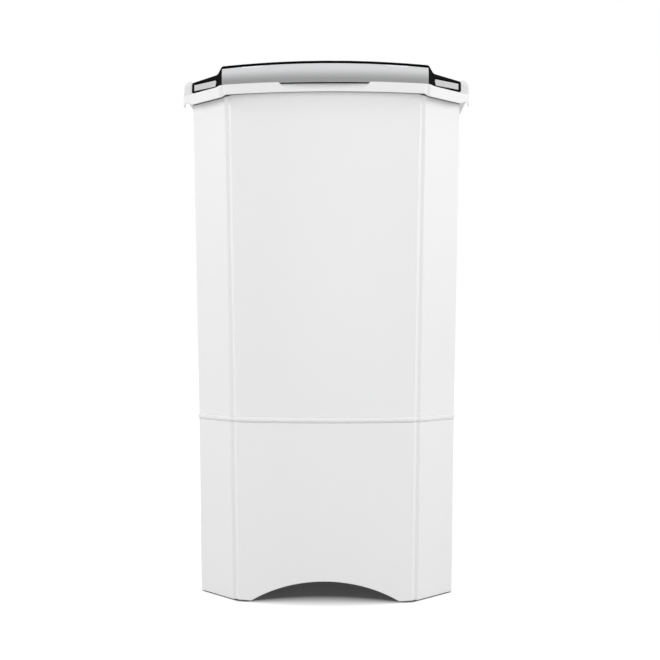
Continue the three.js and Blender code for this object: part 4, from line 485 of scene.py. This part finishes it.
def rangeNode(tree, value, fromLow, fromHigh, toLow, toHigh):
    spread = tree.nodes.new("ShaderNodeMapRange")
    for key, number in zip(("From Min", "From Max", "To Min", "To Max"), (fromLow, fromHigh, toLow, toHigh)):
        spread.inputs[key].default_value = number
    tree.links.new(value, spread.inputs["Value"])
    return spread.outputs["Result"]


shellWhite = {
    "color": (0.83, 0.83, 0.832),
    "roughness": 0.38,
    "roughnessSpread": 0.035,
    "smearSize": 0.06,
    "specular": 0.3,
    "mottle": 0.006,
    "grainSize": 0.0016,
    "grainStrength": 0.035,
}

# The height scale: painted light and shade, a colour scale below and above a range of heights, as (low, high,
# bottom, top).
# sideDrop: how much lower those heights lie towards the sides, as a range of X to a range of drop.
looks = {
    "whiteShell": shellWhite,
    # the tub's white carries painted light: a little lighter under the rim, and a painted shadow line just
    # under the frame's lip, lower towards the sides
    "tubWhitePaintedLight": {**shellWhite, "paintedLightByHeight": [(1, 1.13, 0.838, 0.857), (1, 0.07, 0.8620, 0.8638)],
                 "sideDrop": (0.158, 0.176, 0, 0.0038)},
    "frameWhite": {**shellWhite, "color": (0.815, 0.815, 0.817), "specular": 0.25},
    "whiteInner": {"color": (0.80, 0.80, 0.80), "roughness": 0.42, "mottle": 0.008, "grainStrength": 0.05},
    "glossBlack": {"color": (0.002, 0.002, 0.0025), "roughness": 0.2, "mottle": 0.15, "grainSize": 0.004,
                   "grainStrength": 0.02, "roughnessSpread": 0.04, "ior": 1.07},
    "lidBlack": {"color": (0.006, 0.006, 0.007), "roughness": 0.2, "mottle": 0.15, "grainSize": 0.004,
                 "grainStrength": 0.02, "roughnessSpread": 0.04, "ior": 1.32},
    # the band's grey carries painted shade, darker at its foot and lighter towards its top
    "satinSilverPaintedLight": {"color": (0.44, 0.442, 0.447), "roughness": 0.4, "mottle": 0.02,
                    "grainSize": 0.0005, "grainStrength": 0.03, "specular": 0.15,
                    "paintedLightByHeight": [(0.72, 1.45, 0.883, 0.904)]},
    # a painted highlight for the band's top edge
    "bandPaintedHighlight": {"color": (0.80, 0.80, 0.81), "roughness": 0.3, "grainSize": 0.0005, "grainStrength": 0.03},
    "knobWhite": {"color": (0.72, 0.72, 0.725), "roughness": 0.32, "mottle": 0.01, "grainSize": 0.0009,
                  "grainStrength": 0.05},
    "markGrey": {"color": (0.06, 0.065, 0.075), "roughness": 0.5, "mottle": 0.05, "grainSize": 0.0006,
                 "grainStrength": 0.08},
    "insertGrey": {"color": (0.53, 0.53, 0.535), "roughness": 0.42, "mottle": 0.02, "grainSize": 0.0007,
                   "grainStrength": 0.08, "specular": 0.3},
    "lightGrey": {"color": (0.62, 0.62, 0.63), "roughness": 0.45, "mottle": 0.01, "grainSize": 0.0007,
                  "grainStrength": 0.08},
    "pulsatorBlue": {"color": (0.27, 0.33, 0.40), "roughness": 0.36, "mottle": 0.03, "grainSize": 0.0012,
                     "grainStrength": 0.06},
    "darkMoulding": {"color": (0.022, 0.022, 0.025), "roughness": 0.55, "mottle": 0.1, "grainSize": 0.0006,
                     "grainStrength": 0.15},
    "footRubber": {"color": (0.018, 0.018, 0.018), "roughness": 0.8, "mottle": 0.15, "grainSize": 0.0008,
                   "grainStrength": 0.2, "specular": 0.3},
    "beltRubber": {"color": (0.015, 0.015, 0.015), "roughness": 0.7, "mottle": 0.1, "grainSize": 0.0006,
                   "grainStrength": 0.25, "wave": 90, "waveAxis": "Z", "waveStrength": 0.15},
    "zincSteel": {"color": (0.60, 0.60, 0.57), "roughness": 0.34, "metallic": 1, "mottle": 0.08,
                  "grainSize": 0.0009, "grainStrength": 0.06, "roughnessSpread": 0.1},
    "groundSteel": {"color": (0.56, 0.57, 0.58), "roughness": 0.28, "metallic": 1, "mottle": 0.04,
                    "grainSize": 0.0008, "grainStrength": 0.1, "stretch": (1, 1, 14)},
    "laminations": {"color": (0.34, 0.34, 0.35), "roughness": 0.5, "metallic": 0.8, "mottle": 0.12,
                    "wave": 160, "waveAxis": "Z", "waveStrength": 0.6},
    "blackEnamel": {"color": (0.03, 0.032, 0.035), "roughness": 0.42, "mottle": 0.15, "grainSize": 0.0014,
                    "grainStrength": 0.12, "coat": 0.3, "coatRoughness": 0.2},
    "castAluminium": {"color": (0.58, 0.59, 0.61), "roughness": 0.46, "metallic": 0.95, "mottle": 0.08,
                      "grainSize": 0.0008, "grainStrength": 0.22, "roughnessSpread": 0.08},
    "drawnAluminium": {"color": (0.68, 0.69, 0.70), "roughness": 0.3, "metallic": 1, "mottle": 0.03,
                       "grainSize": 0.0007, "grainStrength": 0.08, "stretch": (1, 1, 10)},
    "sinteredBronze": {"color": (0.42, 0.26, 0.11), "roughness": 0.5, "metallic": 0.9, "mottle": 0.15,
                       "grainSize": 0.0004, "grainStrength": 0.2},
    "smokedAcrylic": {"color": (0.20, 0.215, 0.225), "roughness": 0.045, "transmission": 1, "mottle": 0.02,
                      "grainSize": 0.02, "grainStrength": 0.01, "roughnessSpread": 0.02},
}
finishes = {name: makeFinish(name, look) for name, look in looks.items()}
print("finishes made:", len(finishes))

makeStage()
print("stage made")

# CAD nodes that are refined: node, new name, edge radius in mm, bevel steps, finish, slot.
refinedPieces = [
    ("tub", "washTub", 0.9, 2, "tubWhitePaintedLight", "white_plastic"),
    ("base_skirt", "baseSkirt", 0.9, 2, "whiteShell", "white_plastic"),
    ("top_frame", "topFrame", 1.2, 3, "frameWhite", "white_plastic"),
    ("lid_frame", "lidShell", 0.7, 2, "glossBlack", "black_plastic"),
    ("lid_front_trim", "frontBand", 0.4, 2, "satinSilverPaintedLight", "silver_plastic"),
    ("lid_corner_trim_left", "leftInsert", 0.3, 2, "insertGrey", "grey_plastic"),
    ("lid_corner_trim_right", "rightInsert", 0.3, 2, "insertGrey", "grey_plastic"),
    ("lid_window", "lidWindow", 0.4, 2, "smokedAcrylic", "smoked_plastic"),
    ("console_housing", "consoleHousing", 1.2, 3, "whiteShell", "white_plastic"),
    ("console_fascia", "consoleFascia", 0.5, 2, "lightGrey", "grey_plastic"),
    ("rear_cover", "rearCover", 0, 0, "whiteShell", "white_plastic"),
    ("rear_duct", "rearDuct", 0.6, 2, "whiteShell", "white_plastic"),
    ("pulsator", "pulsatorDisc", 1.4, 3, "pulsatorBlue", "blue_grey_plastic"),
    ("drain_grille", "drainGrille", 0.4, 2, "pulsatorBlue", "blue_grey_plastic"),
    ("lint_filter_frame", "filterFrame", 0.5, 2, "pulsatorBlue", "blue_grey_plastic"),
    ("drain_elbow", "drainElbow", 0.6, 2, "darkMoulding", "dark_plastic"),
    ("timer_body", "timerBody", 0.5, 2, "darkMoulding", "dark_plastic"),
    ("bearing_housing", "bearingHousing", 0.7, 2, "darkMoulding", "dark_plastic"),
    ("driven_pulley", "drivenPulley", 0.5, 2, "castAluminium", "aluminium"),
    ("drive_pulley", "drivePulley", 0.4, 2, "castAluminium", "aluminium"),
    ("motor_top_bell", "upperBell", 0.8, 2, "castAluminium", "aluminium"),
    ("motor_bottom_bell", "lowerBell", 0.8, 2, "castAluminium", "aluminium"),
    ("motor_bracket", "motorBracket", 0.4, 2, "blackEnamel", "painted_steel"),
    ("capacitor", "runCapacitor", 0.5, 2, "drawnAluminium", "aluminium"),
    ("capacitor_clamp", "capacitorClamp", 0.2, 2, "blackEnamel", "painted_steel"),
    ("hinge_pin_left", "leftHingePin", 0.4, 2, "zincSteel", "zinc_steel"),
    ("hinge_pin_right", "rightHingePin", 0.4, 2, "zincSteel", "zinc_steel"),
]

# The lid's cap comes lower over the band than the solid's, and the band's foot carries a painted shadow line
# and its top a painted highlight.
lidEdge = {
    "crownTop": 917.0,
    "crownFall": 4.0,
    "crownHalf": 173.5,
    "cap": 3.3,
    "capEndLow": 908.9,
    "capEndHigh": 909.05,
    "capRear": -207.5,
    "capDrop": 1.1,
    "capNear": 0.12,
    "bandBottom": 877.6,
    "bandShare": 0.9686,
    "shadowLineHeight": 1.6,
    "highlightHeight": 1.8,
    "lipRear": -170.0,
    "frontFacing": -0.2,
    "downFacing": -0.5,
}


def capUnderside(co):
    x, y, z = co.x / mm, co.y / mm, co.z / mm
    if y > lidEdge["capRear"]:
        return False
    if abs(x) > lidEdge["crownHalf"]:
        return lidEdge["capEndLow"] < z < lidEdge["capEndHigh"]
    return abs(z - (bandTopAt(x) - lidEdge["cap"])) < lidEdge["capNear"]


def bandTopAt(x):
    return lidEdge["crownTop"] - lidEdge["crownFall"] * min(abs(x) / lidEdge["crownHalf"], 1) ** 2


def thickenCap():
    print("cap vertices lowered:", pick(capUnderside))
    shift(z=-lidEdge["capDrop"] * mm)


def shapeBand():
    bpy.ops.mesh.select_all(action="SELECT")
    scaleAbout((0, 0, lidEdge["bandBottom"] * mm), z=lidEdge["bandShare"])
    # a cut that bounds the painted shadow line along the band's foot
    sliceLevel((lidEdge["bandBottom"] + lidEdge["shadowLineHeight"]) * mm)


# A plate sits lower and narrower in its pocket, with its inner upper corner cut off.
insertEdge = {"middle": 889.0, "inner": 187.0, "topDrop": 1.9, "bottomRise": 0.8, "corner": 3.6}


def trimInsert():
    middle, inner = insertEdge["middle"] * mm, insertEdge["inner"] * mm
    pick(lambda co: co.z > middle)
    shift(z=-insertEdge["topDrop"] * mm)
    pick(lambda co: co.z < middle)
    shift(z=insertEdge["bottomRise"] * mm)
    pick(lambda a, b: max(abs(a.x), abs(b.x)) < inner and min(a.z, b.z) > middle, "EDGE")
    bpy.ops.mesh.bevel(offset=insertEdge["corner"] * mm, segments=1, affect="EDGES")


mends = {
    "lid_frame": thickenCap,
    "lid_front_trim": shapeBand,
    "lid_corner_trim_left": trimInsert,
    "lid_corner_trim_right": trimInsert,
}
louvred = ("rear_cover",)  # its pierced faces don't join cleanly, so they stay as they are
for node, name, width, steps, finish, slot in refinedPieces:
    piece = refine(node, name, width * mm, steps, mends.get(node), node not in louvred)
    dress(piece, finish, nodes[node]["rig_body"], [node])
print("nodes refined:", len(refinedPieces))


# A painted shadow line, in the lid's black, along the band's foot and a painted highlight along its top.
def paintBand(piece):
    for finish in ("glossBlack", "bandPaintedHighlight"):
        piece.data.materials.append(finishes[finish])
    shadowLineTop = (lidEdge["bandBottom"] + lidEdge["shadowLineHeight"]) * mm
    drop = lidEdge["cap"] + lidEdge["capDrop"] + lidEdge["highlightHeight"]
    for face in piece.data.polygons:
        if face.center.z < shadowLineTop:
            face.material_index = 1
        elif face.center.z > (bandTopAt(face.center.x / mm) - drop) * mm:
            face.material_index = 2


# The lid's top and underside have the full gloss that its front edge lacks.
def paintLid(piece):
    piece.data.materials.append(finishes["lidBlack"])
    for face in piece.data.polygons:
        facesFront = face.normal.y <= lidEdge["frontFacing"]
        underLip = face.normal.z < lidEdge["downFacing"] and face.center.y < lidEdge["lipRear"] * mm
        if not facesFront and not underLip:
            face.material_index = 1


paintBand(bpy.data.objects["frontBand"])
paintLid(bpy.data.objects["lidShell"])


# A copy with its own mesh, moved to its place.
def copyPart(source, name, matrix):
    piece = bpy.data.objects.new(name, source.data.copy())
    bpy.context.scene.collection.objects.link(piece)
    return placePart(piece, matrix)


def joinParts(name, parts):
    deselectAll()
    for part in parts:
        part.select_set(True)
    bpy.context.view_layer.objects.active = parts[0]
    bpy.ops.object.join()
    parts[0].name = name
    return parts[0]


def removePart(piece):
    activate(piece)
    bpy.ops.object.delete()


def ringList(pairs):
    return [(radius * mm, height * mm) for radius, height in pairs]


# Timer knob and the marks round it, drawn with Z out of the fascia and Y up its slope.
dial = {
    "x": 120.0,
    "centre": 33.0,
    "originY": 177.0,
    "originZ": 881.3,
    "slope": math.atan2(60, 20),
    "knobRings": [
        (0.6, 17.3), (3.3, 17.3), (3.3, 3.6), (23.2, 3.6), (24.0, 4.3), (24.0, 6.3), (23.4, 7.1), (22.3, 7.6),
        (21.2, 7.8), (20.9, 8.4), (20.3, 12.0), (19.5, 17.2), (18.9, 18.9), (17.8, 20.1), (16.4, 20.6),
        (9.0, 20.5), (3.0, 20.4),
    ],
    "flutes": 8,
    "fluteFrom": 8.0,
    "fluteTo": 20.2,
    "fluteMiddle": (0.0, 2.5, 15.0, 0.90),  # from and to in degrees, least radius in mm, scale
    "fluteSides": (2.5, 6.5, 18.4, 0.955),
    "pointerWidth": 1.6,
    "pointerFrom": 5.0,
    "pointerTo": 16.6,
    "pointerBase": 20.2,
    "pointerTop": 20.7,
    "pointerEdge": 0.15,
    "surface": 3.0,
    "markHeight": 0.15,
    "tickFrom": 24.7,
    "tickTo": 25.7,
    "tickWidth": 0.45,
    "stepAngle": 20,
    "minutes": 15,
    "numerals": (3, 6, 9, 12, 15),
    "numeralSize": 3.9,
    "numeralRadius": 28.4,
    "lowNumeral": 9,  # the lowest one takes its tick's place, nearer to the knob
    "lowNumeralRadius": 26.2,
}


def slopeMatrix(x, up, out):
    rise = Vector((0, math.cos(dial["slope"]), math.sin(dial["slope"])))
    normal = Vector((0, -math.sin(dial["slope"]), math.cos(dial["slope"])))
    place = (Vector((x, dial["originY"], dial["originZ"])) + rise * up + normal * out) * mm
    return Matrix((
        (1, 0, 0, place.x),
        (0, rise.y, normal.y, place.y),
        (0, rise.z, normal.z, place.z),
        (0, 0, 0, 1),
    ))


def fluteDistance(co):
    turn = 360 / dial["flutes"]
    angle = math.degrees(math.atan2(co.y, co.x)) % turn
    return abs(angle - turn / 2)


def onGrip(co, near, far, radius):
    inHeight = dial["fluteFrom"] * mm < co.z < dial["fluteTo"] * mm
    return inHeight and co.xy.length > radius * mm and near <= fluteDistance(co) < far


def makeKnob():
    knob = turnPart("timerKnob", ringList(dial["knobRings"]), sides=96)
    openEdit(knob)
    for near, far, radius, share in (dial["fluteMiddle"], dial["fluteSides"]):
        pick(lambda co: onGrip(co, near, far, radius))
        scaleAbout((0, 0, 0), x=share, y=share)
    closeEdit()
    smooth(knob, 38)
    placePart(knob, slopeMatrix(dial["x"], dial["centre"], 0))
    return dress(knob, "knobWhite", nodes["timer_knob"]["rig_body"], ["timer_knob"])


def makePointer():
    half = dial["pointerWidth"] / 2
    pointer = addBox(
        "knobPointer",
        [-half * mm, dial["pointerFrom"] * mm, dial["pointerBase"] * mm],
        [half * mm, dial["pointerTo"] * mm, dial["pointerTop"] * mm],
    )
    roundEdges(pointer, dial["pointerEdge"] * mm)
    smooth(pointer, 30)
    placePart(pointer, slopeMatrix(dial["x"], dial["centre"], 0))
    return dress(pointer, "markGrey", nodes["timer_knob"]["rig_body"])


def makeMarks():
    base, top = dial["surface"], dial["surface"] + dial["markHeight"]
    half = dial["tickWidth"] / 2
    tick = addBox(
        "tick", [-half * mm, dial["tickFrom"] * mm, base * mm], [half * mm, dial["tickTo"] * mm, top * mm],
    )
    parts = []
    for minute in range(dial["minutes"] + 1):
        if minute != dial["lowNumeral"]:
            turned = Matrix.Rotation(-math.radians(dial["stepAngle"] * minute), 4, "Z")
            parts.append(copyPart(tick, "tick.%d" % minute, turned))
    removePart(tick)
    for minute in dial["numerals"]:
        deselectAll()
        bpy.ops.object.text_add(location=(0, 0, 0))
        figure = bpy.context.object
        figure.data.body = str(minute)
        figure.data.size = dial["numeralSize"] * mm
        figure.data.align_x = "CENTER"
        figure.data.align_y = "CENTER"
        figure.data.extrude = dial["markHeight"] / 2 * mm
        bpy.ops.object.convert(target="MESH")
        figure = bpy.context.object
        radius = dial["lowNumeralRadius" if minute == dial["lowNumeral"] else "numeralRadius"]
        turn = math.radians(dial["stepAngle"] * minute)
        place = Vector((radius * math.sin(turn), radius * math.cos(turn), (base + top) / 2)) * mm
        parts.append(placePart(figure, Matrix.Translation(place)))
    marks = joinParts("dialMarks", parts)
    openEdit(marks)
    tidyMesh()
    closeEdit()
    placePart(marks, slopeMatrix(dial["x"], dial["centre"], 0))
    return dress(marks, "markGrey", nodes["console_fascia"]["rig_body"])


makeKnob()
makePointer()
makeMarks()
print("timer knob and dial made")

# Levelling feet: a grooved rubber pad on a stem with a collar.
feet = {
    "rings": [
        (4.0, 0.5), (10.8, 0.5), (11.2, 0.0), (12.4, 0.0), (12.8, 0.5), (13.3, 0.5), (13.7, 0.0), (14.4, 0.0),
        (15.0, 0.5), (15.0, 2.0), (14.4, 2.7), (6.4, 2.8), (5.3, 3.3), (5.0, 3.9), (5.0, 6.9), (5.4, 7.3),
        (7.2, 7.3), (7.5, 7.6), (7.5, 8.6), (7.2, 8.9), (5.0, 8.9), (4.7, 10.4), (4.0, 11.0),
    ],
    "places": [(-165, -160), (165, -160), (-165, 185), (165, 185)],
}


def makeFeet():
    pattern = turnPart("footPattern", ringList(feet["rings"]), sides=64)
    smooth(pattern, 42)
    for i, (x, y) in enumerate(feet["places"], 1):
        foot = copyPart(pattern, "foot%d" % i, Matrix.Translation(Vector((x, y, 0)) * mm))
        node = "foot_%d" % i
        dress(foot, "footRubber", nodes[node]["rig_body"], [node])
    removePart(pattern)


makeFeet()
print("feet made")

# Screws and bolts, drawn with the head up and its seat at zero, and laid into the solids' own boxes.
fixings = {
    "panHead": [(4.5, 0.0), (4.5, 0.5), (4.25, 1.1), (3.5, 1.75), (2.2, 2.12), (0.8, 2.2)],
    "panHeight": 2.2,
    "panLength": 8.0,
    "panShank": 2.0,
    "panThread": 1.55,
    "crossWidth": 0.9,
    "crossHalf": 2.1,
    "crossDepth": 1.3,
    "crossClear": 0.8,
    "coverScrews": 4,
    "threadPitch": 0.8,
    "threadTip": 0.4,
    "tipShare": 0.6,
    "hexThreadShare": 0.84,
    "hexCollar": [(0.97, 0), (0.97, 0.16), (0.8, 0.22)],  # shares of the head's radius and height
    "hexFoot": [(0.9, 0.12), (1, 0.2)],
    "hexChamfer": 0.6,
    "hexEdge": 0.15,
}

# Bolts: nodes, new names, how many, where the head faces, head height, shank radius.
boltKinds = [
    ("housing_bolt_%d", "housingBolt%d", 4, (0, 0, -1), 3.6, 2.5),
    ("motor_bolt_%d", "motorBolt%d", 2, (0, 0, 1), 4.0, 2.5),
    ("bracket_screw_%d", "bracketScrew%d", 4, (0, 0, -1), 4.0, 3.0),
]


# A shank with its thread as rings of two radii, from its tip up to the head.
def shankRings(radius, core, length):
    pitch = fixings["threadPitch"]
    threadEnd = -length + fixings["threadTip"]
    rings = [(core * fixings["tipShare"], -length), (core, threadEnd)]
    height = threadEnd + pitch / 2
    while height < -pitch:
        rings += [(radius, height), (core, height + pitch / 2)]
        height += pitch
    return rings + [(radius, -pitch / 4), (radius, 0)]


def makeCrossScrew():
    shank = shankRings(fixings["panShank"], fixings["panThread"], fixings["panLength"])
    screw = turnPart("crossScrew", ringList(shank + fixings["panHead"]), sides=40)
    half, arm = fixings["crossWidth"] / 2, fixings["crossHalf"]
    top = fixings["panHeight"] + fixings["crossClear"]
    floor = fixings["panHeight"] - fixings["crossDepth"]
    first = addBox("crossCut", [-arm * mm, -half * mm, floor * mm], [arm * mm, half * mm, top * mm])
    second = addBox("crossCutTwo", [-half * mm, -arm * mm, floor * mm], [half * mm, arm * mm, top * mm])
    for cutter in (first, second):
        applyModifier(screw, "BOOLEAN", operation="DIFFERENCE", object=cutter, solver="EXACT")
        removePart(cutter)
    smooth(screw, 35)
    return screw


def makeHexBolt(name, headRadius, headHeight, radius, length):
    chamfer = fixings["hexChamfer"]
    collar, foot = (
        [(across * headRadius, up * headHeight) for across, up in fixings[key]]
        for key in ("hexCollar", "hexFoot")
    )
    top = [(headRadius, headHeight - chamfer), (headRadius - chamfer, headHeight)]
    shank = turnPart(name, ringList(shankRings(radius, radius * fixings["hexThreadShare"], length)), sides=32)
    washer = turnPart("boltCollar", ringList([(radius, 0)] + collar), sides=40)
    head = turnPart("boltHead", ringList(foot + top), sides=6)
    roundEdges(head, fixings["hexEdge"] * mm, sharp=25)
    bolt = joinParts(name, [shank, washer, head])
    smooth(bolt, 32)
    return bolt


# Lays a pattern into the box of a node: "up" is the world direction that its head faces.
def fitFixing(pattern, node, name, up, length):
    low, high = (Vector(corner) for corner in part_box(node))
    centre = (low + high) / 2
    way = Vector(up)
    tip = centre - way * abs((high - low).dot(way)) / 2
    turned = way.to_track_quat("Z", "Y").to_matrix().to_4x4()
    piece = copyPart(pattern, name, Matrix.Translation(tip + way * length * mm) @ turned)
    return dress(piece, "zincSteel", nodes[node]["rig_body"], [node])


def makeFixings():
    crossScrew = makeCrossScrew()
    for i in range(1, fixings["coverScrews"] + 1):
        fitFixing(crossScrew, "rear_cover_screw_%d" % i, "coverScrew%d" % i, (0, 1, 0), fixings["panLength"])
    removePart(crossScrew)
    for node, name, count, up, headHeight, radius in boltKinds:
        low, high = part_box(node % 1)
        headRadius = (high[0] - low[0]) / 2 / mm
        length = (high[2] - low[2]) / mm - headHeight
        pattern = makeHexBolt("boltPattern", headRadius, headHeight, radius, length)
        for i in range(1, count + 1):
            fitFixing(pattern, node % i, name % i, up, length)
        removePart(pattern)


makeFixings()
print("fixings made")

# Woven mesh behind the filter's bars: one wire each way, repeated.
filterMesh = {
    "x": 203.3,
    "radius": 0.18,
    "halfWidth": 49.0,
    "bottom": 563.2,
    "top": 706.8,
    "pitch": 2.0,
    "rows": 72,
    "columns": 50,
}


def repeatWire(wire, count, step):
    applyModifier(wire, "ARRAY", count=count, use_relative_offset=False, use_constant_offset=True,
                  constant_offset_displace=step)


def makeMesh():
    radius, pitch = filterMesh["radius"] * mm, filterMesh["pitch"] * mm
    x, side, bottom, top = (filterMesh[key] * mm for key in ("x", "halfWidth", "bottom", "top"))
    across = addBox("filterMesh", [x - radius, -side, bottom - radius], [x + radius, side, bottom + radius])
    repeatWire(across, filterMesh["rows"], (0, 0, pitch))
    upright = addBox("meshUpright", [x - radius, -side - radius, bottom], [x + radius, -side + radius, top])
    repeatWire(upright, filterMesh["columns"], (0, pitch, 0))
    woven = joinParts("filterMesh", [across, upright])
    smooth(woven, 30, weighted=False)
    return dress(woven, "whiteInner", nodes["lint_filter_screen"]["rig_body"])


makeMesh()
print("filter mesh made")

# What keeps its CAD mesh and only gets a finish.
plainFinishes = {
    "footRubber": ["cord_grommet", "shaft_seal"],
    "zincSteel": ["pulley_nut", "timer_shaft", "pulsator_screw"],
    "groundSteel": ["drive_shaft", "motor_shaft"],
    "darkMoulding": ["wiring_harness"],
    "whiteInner": ["lint_filter_screen"],
    "laminations": ["motor_stator", "motor_rotor"],
    "sinteredBronze": ["lower_bush", "upper_bush"],
    "beltRubber": ["drive_belt"],
}
for finish, names in plainFinishes.items():
    for node in names:
        nodes[node].data.materials.clear()
        nodes[node].data.materials.append(finishes[finish])
